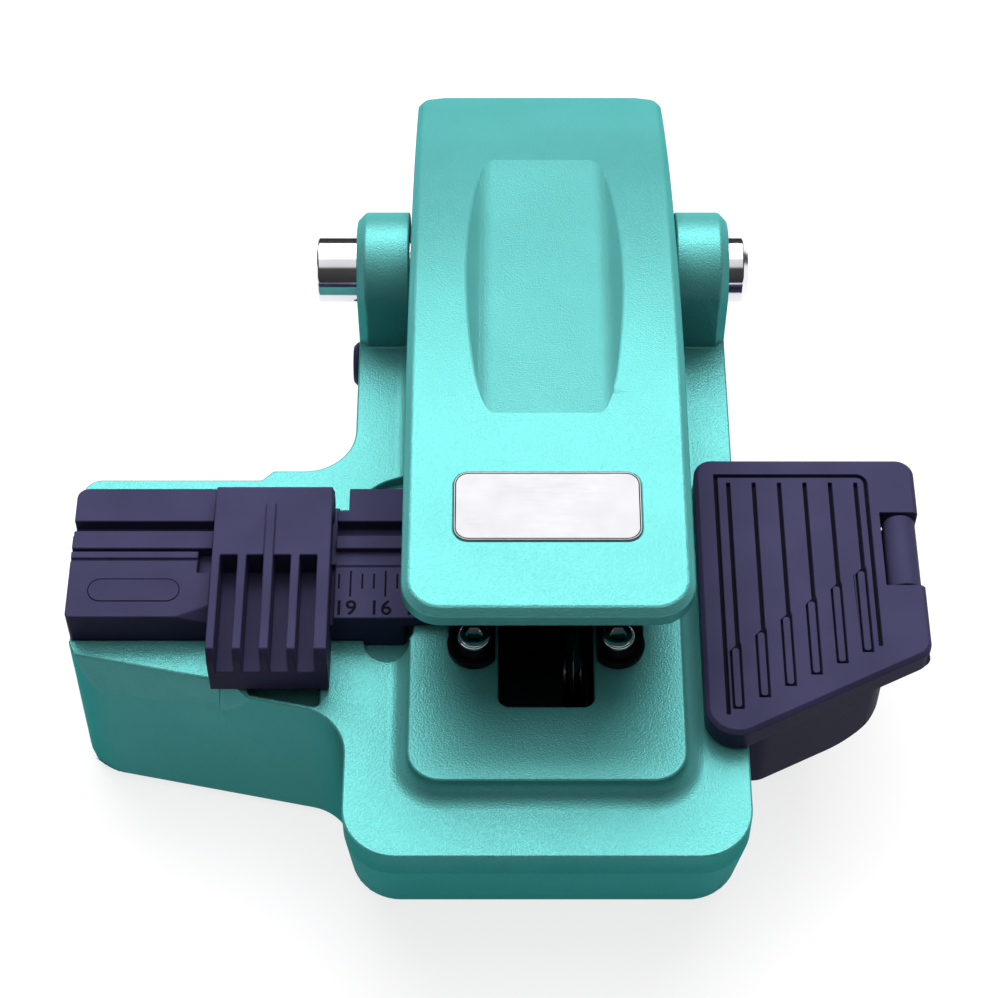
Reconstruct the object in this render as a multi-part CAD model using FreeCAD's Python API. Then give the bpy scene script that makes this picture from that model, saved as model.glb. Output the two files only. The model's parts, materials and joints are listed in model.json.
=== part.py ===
import FreeCAD, Part
import math
import os

# Fibre cleaver: a bench tool that clamps one optical fibre and scores it with a wheel blade.
#
# Millimetres. X runs along the fibre, Y to the rear, Z up. The origin lies on the underside of the
# base pad, midway between the two sides of the main block. Everything is drawn at rest: lid shut,
# fibre clamp shut, off-cut bin shut, blade carriage at its front stop.

# ---- Body -------------------------------------------------------------------------------------
PAD_THICKNESS = 0.8            # rubber under the block and under the arm
BODY_TOP = 17.2
BLOCK_HALF = 17.0              # half the width of the main block
BLOCK_FRONT = -35.7
BLOCK_REAR = 29.5
BLOCK_FRONT_RADIUS = 4.5
BLOCK_REAR_RADIUS = 3.0
FRONT_BAND = 3.0               # upright strip at the top of the front face
FRONT_LEAN = 4.5               # how far the front face leans in below that strip
SKIN = 2.0                     # roof left over the carriage chamber

ARM_LEFT = -41.2
ARM_REAR = 2.1
ARM_REAR_STEP = 1.0            # the rear edge steps back beside the block
ARM_STEP_X = -24.8
ARM_STEP_RADIUS = 0.4
ARM_REAR_RADIUS = 1.6
ARM_LAP = 7.0                  # how far the arm's plan runs on into the block
ARM_FRONT_LEFT = -17.4         # front edge of the arm's top at its left end
ARM_FRONT_RIGHT = -22.4        # the same edge carried on to the block's side
ARM_DRAFT = 0.8                # how much further out the foot of that wall stands
ARM_CORNER_RADIUS = 4.2
ARM_ROOT_RADIUS = 4.5          # hollow corners where the arm meets the block
ARM_BEVEL_WIDTH = 1.3
ARM_BEVEL_HEIGHT = 3.0
ARM_BEVEL_END = -28.0
ARM_BEVEL_CUTTER = 2.6         # radius that the bevel runs out with

PLATEAU_RISE = 2.2
PLATEAU_HALF = 11.6
PLATEAU_FRONT = -29.8
PLATEAU_RADIUS = 2.8
PLATEAU_FOOT_RADIUS = 1.9

# ---- Lid hinge --------------------------------------------------------------------------------
HINGE_Y = 22.5
HINGE_RISE = 5.1               # hinge axis above the body's top
EAR_RADIUS = 5.2
EAR_GAP = 0.3                  # side clearance between lid and ears
EAR_EDGE = 0.8                 # bevel round each ear's outer face
SHAFT_DIAMETER = 6.2
SHAFT_LEFT_STICKOUT = 3.7
SHAFT_RIGHT_STICKOUT = 1.9
SHAFT_LEFT_CHAMFER = 0.15
SHAFT_RIGHT_CHAMFER = 0.5
LID_BUSH_WALL = 0.8
LID_BUSH_LENGTH = 4.5
BOSS_WALL = 1.4                # lid metal left round its bushes
BOSS_CLEARANCE = 0.8           # hollow in the body under the lid's boss
SET_SCREW_DIAMETER = 2.5
SET_SCREW_LENGTH = 2.0

# ---- Lid --------------------------------------------------------------------------------------
LID_HALF = 11.9
LID_RISE = 16.0                # lid's flat top above the body's top
LID_FRONT = -22.3
LID_LIP = 2.0                  # thickness of the front lip
LID_LIP_DEPTH = 4.8
LID_FRONT_RADIUS = 3.3
LID_REAR_RADIUS = 1.6
LID_EDGE = 0.6                 # bevel round the top
CROWN_START = -3.0             # behind this line the top falls away as an arc
CROWN_RADIUS = 100.0
TAIL_REAR = 46.2
TAIL_THICKNESS = 2.6
TAIL_UNDERSIDE_START = 30.6
CHEEK_DROP = 7.2               # depth of the lid's side walls
CHEEK_THICKNESS = 2.5
CHEEK_RUN = 4.0                # slope from the cheek down to the hinge boss
LIP_SLOPE = 2.5                # slope from the lip down to the cheek
LID_HOLLOW_DROP = 4.7          # roof of the lid's hollow below its top
LID_HOLLOW_FRONT = -15.2
LID_HOLLOW_REAR = 12.0
LID_HOLLOW_RADIUS = 1.5
SCOOP_FRONT = -2.4
SCOOP_REAR = 31.8
SCOOP_FLOOR_WIDTH = 10.8
SCOOP_RADIUS = 2.5             # hollow corner between the scoop's floor and its sides
NAMEPLATE_SIZE = (15.3, 6.7)
NAMEPLATE_Y = -12.0
NAMEPLATE_THICKNESS = 0.35
NAMEPLATE_RECESS = 0.2
NAMEPLATE_RADIUS = 1.2

# ---- Fibre line -------------------------------------------------------------------------------
FIBRE_Y = -8.4
FIBRE_HEIGHT = 3.1             # above the body's top
FIBRE_GAP = 0.1                # pad face to fibre axis, above and below
CUT_X = 2.3                    # plane of the blade
BLADE_DROP = 0.06              # blade's edge below the fibre axis

# ---- Fibre adapter plate ----------------------------------------------------------------------
PLATE_RISE = 3.6               # rails above the body's top
PLATE_SEAT = 1.0               # depth of the plate's seat in the body
PLATE_INSET = 0.2              # plate end inside the arm's end
PLATE_RIGHT = -12.0
PLATE_NOSE_RIGHT = -8.8
PLATE_BACK = -1.4
PLATE_FRONT = -14.8
FIT = 0.05                     # clearance of seated parts
RELIEF_RADIUS = 4.95           # round relief in the body round the plate's inner end
RELIEF_SETBACK = 1.2
RELIEF_SIDE_GAP = 0.3          # relief past the plate's right end
NOTCH_RADIUS = 2.2             # finger notch at the plate's front edge
NOTCH_INSET = 1.45
SIDE_GROOVE = (-4.9, -6.4)
SIDE_GROOVE_DEPTH = 1.3
FIBRE_GROOVE_WIDTH = 1.3
FIBRE_GROOVE_DEPTH = 0.6
RAIL_WIDTH = 0.5
LEDGE_DROP = 0.15
SEAM_WIDTH = 0.3
SEAM_DEPTH = 0.25
SHOULDER_STEP = 0.8            # left part of the guide groove, down to its full depth
SHOULDER_DROP = 0.3
PLATE_CORNER = 0.4
PLATE_REAR_CORNER = 1.0
WINDOW_WIDTH = 1.2             # window beside the clamp lid
HINGE_BAY_FLOOR = 0.6          # above the body's top
REAR_GAP_WIDTH = 1.0
REAR_GAP_DEPTH = 2.4
FACET = 1.1
FACET_LENGTH = 2.6

# ---- Fibre clamp lid --------------------------------------------------------------------------
CLAMP_LEFT = -28.5
CLAMP_RIGHT = -18.4
CLAMP_REAR = -2.6
CLAMP_FRONT = -20.0
CLAMP_RISE = 6.0               # clamp's top above the body's top
CLAMP_REAR_RADIUS = 0.7
CLAMP_NOSE_RUN = 0.6
CLAMP_NOSE_DROP = 1.3
CLAMP_SIDE_GAP = 0.3
CLAMP_AXIS_Y = -3.1
CLAMP_AXIS_RISE = 3.2
KNUCKLE_RADIUS = 1.5
CLAMP_PIN_DIAMETER = 1.2
CLAMP_LUG = (-25.9, -21.1)
CLAMP_LUG_GAP = 0.15
CLAMP_BED_DROP = 0.6           # bed under the fibre below the rails
CLAMP_KNUCKLE_GAP = 0.42       # from the knuckles to the front of their bay
CLAMP_SLAB_GAP = 0.25          # clamp slab over the rails
CLAMP_SLOT_STARTS = (-27.8, -25.55, -23.25, -21.0)
CLAMP_SLOT_WIDTH = 1.5
CLAMP_SLOT_REAR = -10.0
CLAMP_SLOT_FLOOR = 3.15        # slot floors above the body's top
CLAMP_BAY_FLOOR = 2.3
CLAMP_TAB_INNER = -15.3
CLAMP_TAB_GAP = 0.3            # tab over the body's top
TAB_POCKET_LEFT_INSET = 3.1     # finger pocket in the arm under the tab, inside the tab's sides
TAB_POCKET_RIGHT_INSET = 0.8
TAB_POCKET_BACK_GAP = 0.45     # plate's front edge to the pocket
TAB_POCKET_RIM = 0.4           # lip left at the arm's front edge
TAB_POCKET_DEPTH = 2.6
TAB_POCKET_RADIUS = 0.5
CLAMP_RIDGE_HEIGHT = 0.35
CLAMP_RIDGE_REAR = -4.6
CLAMP_RIDGE_FRONT = -14.0
MAGNET_WIDTH = 2.4
MAGNET_DEPTH = 1.8
MAGNET_THICKNESS = 1.1
MAGNET_INSET = 0.8             # magnets inside the clamp lid's right side
MAGNET_SETBACK = 0.8           # magnets in front of the knuckle
CLAMP_PAD_HANG = 0.4           # rubber pad below the clamp slab

# ---- Blade, carriage and guide rods -----------------------------------------------------------
BLADE_DIAMETER = 16.0
BLADE_THICKNESS = 1.2
BLADE_BEVEL = 0.8
BLADE_REST_Y = -15.2
CARRIAGE_TRAVEL = 15.0
SLOT_HALF = 4.05
SLOT_FRONT = -22.8
SLOT_RADIUS = 1.0
SLOT_CLEARANCE = 0.35          # carriage bridge inside the slot
BRIDGE_SINK = 0.9              # top of the carriage's bridge below the plateau
BRIDGE_LENGTH = 18.6
SIDE_WALL = 5.5                # block's walls beside the chamber
CHAMBER_FRONT = -27.0
CARRIAGE_SIDE_GAP = 0.5
CARRIAGE_LENGTH = 23.7
CARRIAGE_BOTTOM = 3.3
CARRIAGE_ROOF_GAP = 0.7
BUMPER_THICKNESS = 1.0
BUMPER_SIDE = 4.0
STOP_GAP = 0.1                 # carriage to bumper at each end of its travel
ROD_DIAMETER = 3.0
ROD_INSET = 3.1                # rod axis inside the carriage's side
ROD_Z = 6.0
ROD_BLIND = 3.4                # how deep each rod enters the chamber's front wall
ROD_SINK = 0.3                 # rod's rear end below the block's rear face
RUNNING = 0.03                 # radial clearance of running fits
SEATED = 0.02                  # radial clearance of pressed and screwed fits
CLEAR = 0.1                    # radial clearance of holes that a screw passes through
BEYOND = 1.0                   # how far a cutter runs past the face it opens
BUSH_WALL = 0.8
HUB_DIAMETER = 6.0
HUB_WIDTH = 2.0
BLADE_SIDE_GAP = 0.2
AXLE_DIAMETER = 3.0
AXLE_HEAD = 4.0
AXLE_HEAD_HEIGHT = 1.4
AXLE_SLOT_WIDTH = 0.6
AXLE_SLOT_DEPTH = 0.5
AXLE_BITE = 4.0                # axle in the carriage, left of the blade
BLADE_RIM_GAP = 0.6

# ---- Clamps under the lid ---------------------------------------------------------------------
JAW_INNER = 4.3                # inner edge of the lower jaws, from the block's centre plane
JAW_OUTER = 8.3
JAW_THICKNESS = 0.7
JAW_SCREW_X = 6.1
JAW_SCREW_FRONT_Y = -16.9
JAW_SCREW_REAR_Y = 4.2
JAW_LUG_RADIUS = 2.3
JAW_PAD_WIDTH = 3.3
JAW_PAD_LENGTH = 7.0
UPPER_PAD_THICKNESS = 0.8
PAD_BLOCK_HALF = 8.9
PAD_BLOCK_FRONT = -12.8
PAD_BLOCK_REAR = 1.2
PAD_BLOCK_TRAVEL = 0.8
PAD_BLOCK_ROOF_GAP = 1.2
PAD_BLOCK_RADIUS = 0.8
GUIDE_SCREW_X = 6.3
GUIDE_SCREW_Y = -1.6
PAD_SPRING_OUTER = 3.3
PAD_SPRING_WIRE = 0.4
PAD_SPRING_TURNS = 3
PAD_SPRING_POCKET = 2.2
ANVIL_SIDE_GAP = 0.5           # anvil holder inside the pad block's slot
ANVIL_PAD_INSET = 0.3
ANVIL_PAD_TAPER = 0.5
ANVIL_WIDTH = 2.8
ANVIL_DEPTH = 3.0
ANVIL_TIP = 0.9
ANVIL_GAP = 0.45               # anvil face above the fibre axis

# ---- Off-cut bin ------------------------------------------------------------------------------
BIN_LID_RISE = 2.8             # bin lid's top above the body's top
BIN_LID_THICKNESS = 2.4
BIN_LID_LAP = 3.7              # bin lid over the block's top
BIN_LID_REACH = 15.8           # bin lid beyond the block's side
BIN_LID_BACK = 2.4
BIN_LID_NOSE_Y = -25.7         # front of the lid at its left
BIN_LID_NOSE_WIDTH = 3.3
BIN_LID_SHOULDER_Y = -17.7     # front of the lid at its right
BIN_LID_EDGE = 0.35            # bevel round the bin lid's top
BIN_HINGE_OVERHANG = 3.4       # bin lid beyond the bin's right wall
BIN_BACK_GAP = 1.5             # bin's rear wall inside the lid's rear edge
BIN_SETBACK = 1.9              # bin's front wall behind the lid's slanted edge
BIN_BOTTOM = 6.5
BIN_WALL = 1.3
BIN_ROUND = 4.5
BIN_RIM_GAP = 0.3              # bin rim under its lid
BIN_AXIS_INSET = 1.6           # hinge axis inside the bin lid's right edge
BIN_AXIS_RISE = 1.25
BIN_KNUCKLE_RADIUS = 1.55
BIN_KNUCKLE_GAP = 0.2          # between the knuckles, along the pin
BIN_WEB_DEPTH = 3.0
BIN_CORNER = 2.3
BIN_NOSE_FLAT = 1.7            # bin's front wall beside the block, before it slants
BIN_LID_NOSE_RADIUS = 2.6
BIN_LID_RADIUS = 1.6
BIN_NOTCH = (-11.0, -3.4)
BIN_PIN_DIAMETER = 1.2
RIB_PITCH = 2.25
RIB_COUNT = 6
RIB_INSET = 2.8                # first rib from the bin lid's left edge
RIB_LINE = 0.35
RIB_SLOT = 1.0
RIB_DEPTH = 0.4
RIB_BACK = -0.2
RIB_JOG = 0.55
RIB_FRONT_GAP = 2.6            # grooves end short of the bin lid's front edge
RIB_SLOT_LENGTH = 6.2
RIB_SLOT_GROWTH = 0.45         # each rib's slot is longer than its left neighbour's by this
PANEL_INSET = 1.7              # border line from the bin lid's left and rear edges
PANEL_HINGE_GAP = 0.8          # border line from the bin's right wall
PANEL_CORNER = 1.0

# ---- Springs ----------------------------------------------------------------------------------
SPRING_SIDES = 8               # straight runs of wire in one turn
SPRING_END_GAP = 0.08

# ---- Side button ------------------------------------------------------------------------------
BUTTON_Y = 19.5
BUTTON_Z = 11.8
BUTTON_DIAMETER = 4.2
BUTTON_PROUD = 0.8
BUTTON_FLANGE = 0.6
BUTTON_TRAVEL = 0.5
BUTTON_GUIDE_WALL = 0.7
BUTTON_GUIDE_LENGTH = 2.6
BUTTON_SPRING_ROOM = 2.2
BUTTON_SPRING_OUTER = 3.6
BUTTON_SPRING_WIRE = 0.4
BUTTON_SPRING_TURNS = 3
BUTTON_EDGE = 0.4

# ---- Screws -----------------------------------------------------------------------------------
TIP_ROOM = 0.2                 # hole beyond a screw's tip
JAW_SCREW_SHANK = 2.0
JAW_SCREW_REACH = 3.0
JAW_SCREW_HEAD = 3.6
JAW_SCREW_HEAD_HEIGHT = 1.3
JAW_SCREW_SOCKET = 1.6
JAW_SCREW_SOCKET_DEPTH = 0.8
COVER_SCREW_SHANK = 2.0
COVER_SCREW_HEAD = 3.6
COVER_SCREW_HEAD_HEIGHT = 0.8
COVER_SCREW_REACH = 4.5
COVER_SCREW_Y = -6.0
BIN_SCREW_SHANK = 2.0
BIN_SCREW_HEAD = 3.6
BIN_SCREW_HEAD_HEIGHT = 1.2
BIN_SCREW_REACH = 4.0
BIN_SCREW_INSETS = (5.0, 15.0)  # from the bin's rear wall
BIN_SCREW_Z = 12.0
ADAPTER_SCREW_SHANK = 2.5
ADAPTER_SCREW_HEAD = 4.2
ADAPTER_SCREW_HEAD_HEIGHT = 1.2
ADAPTER_SCREW_LENGTH = 7.0
GUIDE_SCREW_SHANK = 2.0
GUIDE_SCREW_HEAD = 3.4
GUIDE_SCREW_HEAD_HEIGHT = 0.7
GUIDE_SCREW_BITE = 2.4

# ---- Underside --------------------------------------------------------------------------------
COVER_THICKNESS = 1.2
COVER_SIDE_MARGIN = 3.9        # cover beyond the chamber's sides
COVER_FRONT_MARGIN = 2.6
COVER_MARGIN = 3.5             # cover behind the chamber's rear wall
COVER_RADIUS = 2.0
PAD_MARGIN = 1.2               # base pad inside the foot of the block
PAD_RADIUS = 2.5
ARM_FOOT_DIAMETER = 9.0
ARM_FOOT_PLACE = (-31.0, -8.0)
ADAPTER_SCREW_PLACE = (-22.0, -11.6)
ADAPTER_DOWEL_PLACE = (-37.5, -12.2)
ADAPTER_DOWEL_DIAMETER = 2.0
ADAPTER_DOWEL_BITE = 2.2       # dowel in the plate, and as deep in the arm

# ---- Worked-out levels and places ---------------------------------------------------------------
PLATEAU_TOP = BODY_TOP + PLATEAU_RISE
HINGE_Z = BODY_TOP + HINGE_RISE
LID_TOP = BODY_TOP + LID_RISE
FIBRE_Z = BODY_TOP + FIBRE_HEIGHT
PLATE_TOP = BODY_TOP + PLATE_RISE
SEAT_Z = BODY_TOP - PLATE_SEAT
CLAMP_TOP = BODY_TOP + CLAMP_RISE
CLAMP_AXIS_Z = BODY_TOP + CLAMP_AXIS_RISE
CLAMP_SLAB_BOTTOM = PLATE_TOP + CLAMP_SLAB_GAP
EAR_INNER = LID_HALF + EAR_GAP
EAR_MIDDLE = (EAR_INNER + BLOCK_HALF) / 2
BUSH_RADIUS = SHAFT_DIAMETER / 2 + RUNNING + LID_BUSH_WALL
BOSS_RADIUS = BUSH_RADIUS + BOSS_WALL
CHAMBER_HALF = BLOCK_HALF - SIDE_WALL
CHAMBER_ROOF = BODY_TOP - SKIN
CARRIAGE_TOP = CHAMBER_ROOF - CARRIAGE_ROOF_GAP
CARRIAGE_HALF = CHAMBER_HALF - CARRIAGE_SIDE_GAP
CARRIAGE_FRONT = CHAMBER_FRONT + BUMPER_THICKNESS + STOP_GAP
CARRIAGE_REAR = CARRIAGE_FRONT + CARRIAGE_LENGTH
CHAMBER_REAR = CARRIAGE_REAR + CARRIAGE_TRAVEL + STOP_GAP + BUMPER_THICKNESS
ROD_X = CARRIAGE_HALF - ROD_INSET
ROD_FRONT = CHAMBER_FRONT - ROD_BLIND
ROD_REAR = BLOCK_REAR - ROD_SINK
BRIDGE_FRONT = SLOT_FRONT + SLOT_CLEARANCE
BRIDGE_REAR = BRIDGE_FRONT + BRIDGE_LENGTH
SLOT_REAR = BRIDGE_REAR + CARRIAGE_TRAVEL + SLOT_CLEARANCE
BRIDGE_TOP = PLATEAU_TOP - BRIDGE_SINK
BLADE_Z = FIBRE_Z - BLADE_DROP - BLADE_DIAMETER / 2
BLADE_SLOT_HALF = HUB_WIDTH / 2 + BLADE_SIDE_GAP
AXLE_LEFT = CUT_X - BLADE_SLOT_HALF - AXLE_BITE
BUSH_OUTER_RADIUS = ROD_DIAMETER / 2 + RUNNING + BUSH_WALL
COVER_HALF = CHAMBER_HALF + COVER_SIDE_MARGIN
COVER_FRONT = CHAMBER_FRONT - COVER_FRONT_MARGIN
COVER_REAR = CHAMBER_REAR + COVER_MARGIN
BIN_LID_LEFT = BLOCK_HALF - BIN_LID_LAP
BIN_LID_RIGHT = BLOCK_HALF + BIN_LID_REACH
BIN_LID_NOSE_X = BIN_LID_LEFT + BIN_LID_NOSE_WIDTH
BIN_RIGHT = BIN_LID_RIGHT - BIN_HINGE_OVERHANG
BIN_BACK = BIN_LID_BACK - BIN_BACK_GAP
BIN_AXIS_X = BIN_LID_RIGHT - BIN_AXIS_INSET
BIN_TOP = BODY_TOP + BIN_LID_RISE
BIN_AXIS_Z = BODY_TOP + BIN_AXIS_RISE
BIN_RIM = BIN_TOP - BIN_LID_THICKNESS - BIN_RIM_GAP
LID_HOLLOW_ROOF = LID_TOP - LID_HOLLOW_DROP
PAD_BLOCK_BOTTOM = FIBRE_Z + FIBRE_GAP + UPPER_PAD_THICKNESS
PAD_BLOCK_TOP = LID_HOLLOW_ROOF - PAD_BLOCK_ROOF_GAP


# ---- Drawing helpers ----------------------------------------------------------------------------
def flat(a, b):
    """A point of a plan drawing."""
    return FreeCAD.Vector(a, b, 0)


def side(a, b):
    """A point of a drawing seen from the side: a is Y, b is Z."""
    return FreeCAD.Vector(0, a, b)


def front(a, b):
    """A point of a drawing seen from the front: a is X, b is Z."""
    return FreeCAD.Vector(a, 0, b)


def outline(corners, view=flat):
    """Closed wire through corners (a, b, radius), each corner rounded by its radius."""
    count = len(corners)
    ends = []
    for index, (a, b, radius) in enumerate(corners):
        here = view(a, b)
        before = (view(*corners[index - 1][:2]) - here).normalize()
        after = (view(*corners[(index + 1) % count][:2]) - here).normalize()
        if radius <= 0:
            ends.append((here, None, here))
            continue
        half_angle = before.getAngle(after) / 2
        reach = radius / math.tan(half_angle)
        middle = (before + after).normalize() * (radius / math.sin(half_angle) - radius)
        ends.append((here + before * reach, here + middle, here + after * reach))
    edges = []
    for index, (arc_start, arc_middle, arc_end) in enumerate(ends):
        if arc_middle is not None:
            edges.append(Part.Arc(arc_start, arc_middle, arc_end).toShape())
        next_start = ends[(index + 1) % count][0]
        if arc_end.distanceToPoint(next_start) > 1e-6:
            edges.append(Part.makeLine(arc_end, next_start))
    return Part.Wire(edges)


def plan_solid(corners, bottom, top):
    """Upright prism over a plan drawing."""
    face = Part.Face(outline(corners))
    face.translate(FreeCAD.Vector(0, 0, bottom))
    return face.extrude(FreeCAD.Vector(0, 0, top - bottom))


def side_solid(corners, left, right):
    """Prism along X over a side drawing."""
    face = Part.Face(outline(corners, side))
    face.translate(FreeCAD.Vector(left, 0, 0))
    return face.extrude(FreeCAD.Vector(right - left, 0, 0))


def front_solid(corners, near, far):
    """Prism along Y over a front drawing."""
    face = Part.Face(outline(corners, front))
    face.translate(FreeCAD.Vector(0, near, 0))
    return face.extrude(FreeCAD.Vector(0, far - near, 0))


def box(x0, x1, y0, y1, z0, z1):
    return Part.makeBox(x1 - x0, y1 - y0, z1 - z0, FreeCAD.Vector(x0, y0, z0))


def rod_x(radius, x0, x1, y, z):
    return Part.makeCylinder(radius, x1 - x0, FreeCAD.Vector(x0, y, z), FreeCAD.Vector(1, 0, 0))


def rod_y(radius, y0, y1, x, z):
    return Part.makeCylinder(radius, y1 - y0, FreeCAD.Vector(x, y0, z), FreeCAD.Vector(0, 1, 0))


def rod_z(radius, z0, z1, x, y):
    return Part.makeCylinder(radius, z1 - z0, FreeCAD.Vector(x, y, z0), FreeCAD.Vector(0, 0, 1))


def cone_z(low_radius, high_radius, z0, z1, x, y):
    return Part.makeCone(low_radius, high_radius, z1 - z0, FreeCAD.Vector(x, y, z0),
                         FreeCAD.Vector(0, 0, 1))


def round_bar(profile, axis_y, axis_z):
    """Solid of revolution about an axis along X; profile lists (x, radius) from end to end."""
    points = [(profile[0][0], 0.0)] + list(profile) + [(profile[-1][0], 0.0)]
    corners = [(x, axis_z + radius, 0) for x, radius in points]
    face = Part.Face(outline(corners, front))
    face.translate(FreeCAD.Vector(0, axis_y, 0))
    return face.revolve(FreeCAD.Vector(0, axis_y, axis_z), FreeCAD.Vector(1, 0, 0), 360)


def rectangle(x0, x1, y0, y1, radius):
    return [(x0, y0, radius), (x1, y0, radius), (x1, y1, radius), (x0, y1, radius)]


def joined(shapes):
    """One solid from touching or overlapping shapes."""
    first, *rest = shapes
    return first.fuse(rest).removeSplitter() if rest else first


def without(shape, cutters):
    return shape.cut(cutters).removeSplitter()


def group(shapes):
    return Part.makeCompound(shapes)


def chosen_edges(shape, wanted):
    """Edges whose box passes the test wanted(box)."""
    return [edge for edge in shape.Edges if wanted(edge.BoundBox)]


def near(value, target):
    return abs(value - target) < 1e-3


def hex_socket(across, z0, z1, x, y):
    """Hexagonal recess with its flats across the given size."""
    reach = across / math.sqrt(3)
    corners = []
    for turn in range(6):
        angle = math.radians(60 * turn)
        corners.append((x + reach * math.cos(angle), y + reach * math.sin(angle), 0))
    return plan_solid(corners, z0, z1)


def coil_spring(start, direction, length, outer_diameter, wire, turns):
    """Spring wound about the line from start, its wire bent in short straight runs."""
    radius = (outer_diameter - wire) / 2
    first = wire / 2 + SPRING_END_GAP
    rise = (length - 2 * first) / (turns * SPRING_SIDES)
    points = []
    for index in range(turns * SPRING_SIDES + 1):
        angle = 2 * math.pi * index / SPRING_SIDES
        points.append(FreeCAD.Vector(radius * math.cos(angle), radius * math.sin(angle),
                                     first + index * rise))
    half = wire / 2
    section = [(radius - half, -half), (radius + half, -half), (radius + half, half), (radius - half, half)]
    section_points = [FreeCAD.Vector(a, 0, first + b) for a, b in section]
    section_wire = Part.makePolygon(section_points + section_points[:1])
    coil = Part.Wire(Part.makePolygon(points)).makePipeShell([section_wire], True, False, 1)
    turned = FreeCAD.Rotation(FreeCAD.Vector(0, 0, 1), direction)
    coil.Placement = FreeCAD.Placement(start, turned)
    return coil


# ---- Body ---------------------------------------------------------------------------------------
JAW_SCREW_PLACES = [(sign * JAW_SCREW_X, y) for sign in (-1, 1)
                    for y in (JAW_SCREW_FRONT_Y, JAW_SCREW_REAR_Y)]
JAW_SCREW_HOLE = PLATEAU_TOP - JAW_SCREW_REACH - TIP_ROOM
COVER_SCREW_PLACES = [(sign * (CHAMBER_HALF + COVER_HALF) / 2, COVER_SCREW_Y) for sign in (-1, 1)]
COVER_LEVEL = PAD_THICKNESS + COVER_THICKNESS
BIN_SCREW_PLACES = [(BIN_BACK - inset, BIN_SCREW_Z) for inset in BIN_SCREW_INSETS]
BIN_SCREW_SEAT = BLOCK_HALF + FIT + BIN_WALL
ADAPTER_SCREW_SEAT = BODY_TOP + CLAMP_BAY_FLOOR - ADAPTER_SCREW_HEAD_HEIGHT
ADAPTER_SCREW_END = ADAPTER_SCREW_SEAT - ADAPTER_SCREW_LENGTH
GUIDE_RADIUS = BUTTON_DIAMETER / 2 + RUNNING + BUTTON_GUIDE_WALL
BUTTON_FLANGE_X = -BLOCK_HALF + BUTTON_GUIDE_LENGTH + FIT
BUTTON_BORE_END = BUTTON_FLANGE_X + BUTTON_FLANGE + BUTTON_SPRING_ROOM


def arm_corners(front_left, front_right):
    """Plan of the arm, carried on into the block; its two hollow corners are part of it."""
    step = ARM_REAR + ARM_REAR_STEP
    inside = -BLOCK_HALF + ARM_LAP
    return [
        (ARM_LEFT, ARM_REAR, ARM_REAR_RADIUS),
        (ARM_LEFT, front_left, ARM_CORNER_RADIUS),
        (-BLOCK_HALF, front_right, ARM_ROOT_RADIUS),
        (-BLOCK_HALF, front_right - ARM_LAP, 0),
        (inside, front_right - ARM_LAP, 0),
        (inside, step + ARM_LAP, 0),
        (-BLOCK_HALF, step + ARM_LAP, 0),
        (-BLOCK_HALF, step, ARM_ROOT_RADIUS),
        (ARM_STEP_X + ARM_REAR_STEP / 2, step, ARM_STEP_RADIUS),
        (ARM_STEP_X - ARM_REAR_STEP / 2, ARM_REAR, ARM_STEP_RADIUS),
    ]


def arm():
    """Arm that carries the adapter plate: its front wall is drafted and its top edge bevelled."""
    top = outline(arm_corners(ARM_FRONT_LEFT, ARM_FRONT_RIGHT))
    top.translate(FreeCAD.Vector(0, 0, BODY_TOP))
    foot = outline(arm_corners(ARM_FRONT_LEFT - ARM_DRAFT, ARM_FRONT_RIGHT - ARM_DRAFT))
    foot.translate(FreeCAD.Vector(0, 0, PAD_THICKNESS))
    solid = Part.makeLoft([foot, top], True, True)
    run = -BLOCK_HALF - ARM_LEFT
    angle = math.degrees(math.atan2(ARM_FRONT_RIGHT - ARM_FRONT_LEFT, run))
    length = (ARM_BEVEL_END - ARM_LEFT) / math.cos(math.radians(angle))
    low = BODY_TOP - ARM_BEVEL_HEIGHT
    high = BODY_TOP + BEYOND
    spread = ARM_BEVEL_WIDTH * (high - low) / ARM_BEVEL_HEIGHT
    cutter_wall = -ARM_DRAFT * ARM_BEVEL_HEIGHT / (BODY_TOP - PAD_THICKNESS)
    outside = -BEYOND * ARM_BEVEL_HEIGHT
    cutter = side_solid([(outside, low, 0), (cutter_wall, low, 0), (spread, high, 0), (outside, high, 0)],
                        outside, length)
    run_out = cone_z(ARM_BEVEL_CUTTER, ARM_BEVEL_CUTTER + spread, low, high, length,
                     cutter_wall - ARM_BEVEL_CUTTER)
    cutter = joined([cutter, run_out])
    cutter.rotate(FreeCAD.Vector(0, 0, 0), FreeCAD.Vector(0, 0, 1), angle)
    cutter.translate(FreeCAD.Vector(ARM_LEFT, ARM_FRONT_LEFT, 0))
    return without(solid, [cutter])


def block():
    """Main block with the leaning front face."""
    solid = plan_solid([(-BLOCK_HALF, BLOCK_FRONT, BLOCK_FRONT_RADIUS),
                        (BLOCK_HALF, BLOCK_FRONT, BLOCK_FRONT_RADIUS),
                        (BLOCK_HALF, BLOCK_REAR, BLOCK_REAR_RADIUS),
                        (-BLOCK_HALF, BLOCK_REAR, BLOCK_REAR_RADIUS)], PAD_THICKNESS, BODY_TOP)
    lean_top = BODY_TOP - FRONT_BAND
    wedge = side_solid([(BLOCK_FRONT, lean_top, 0), (BLOCK_FRONT + FRONT_LEAN, 0, 0),
                        (BLOCK_FRONT - 3, 0, 0), (BLOCK_FRONT - 3, lean_top, 0)],
                       -BLOCK_HALF - 1, BLOCK_HALF + 1)
    return without(solid, [wedge])


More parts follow.
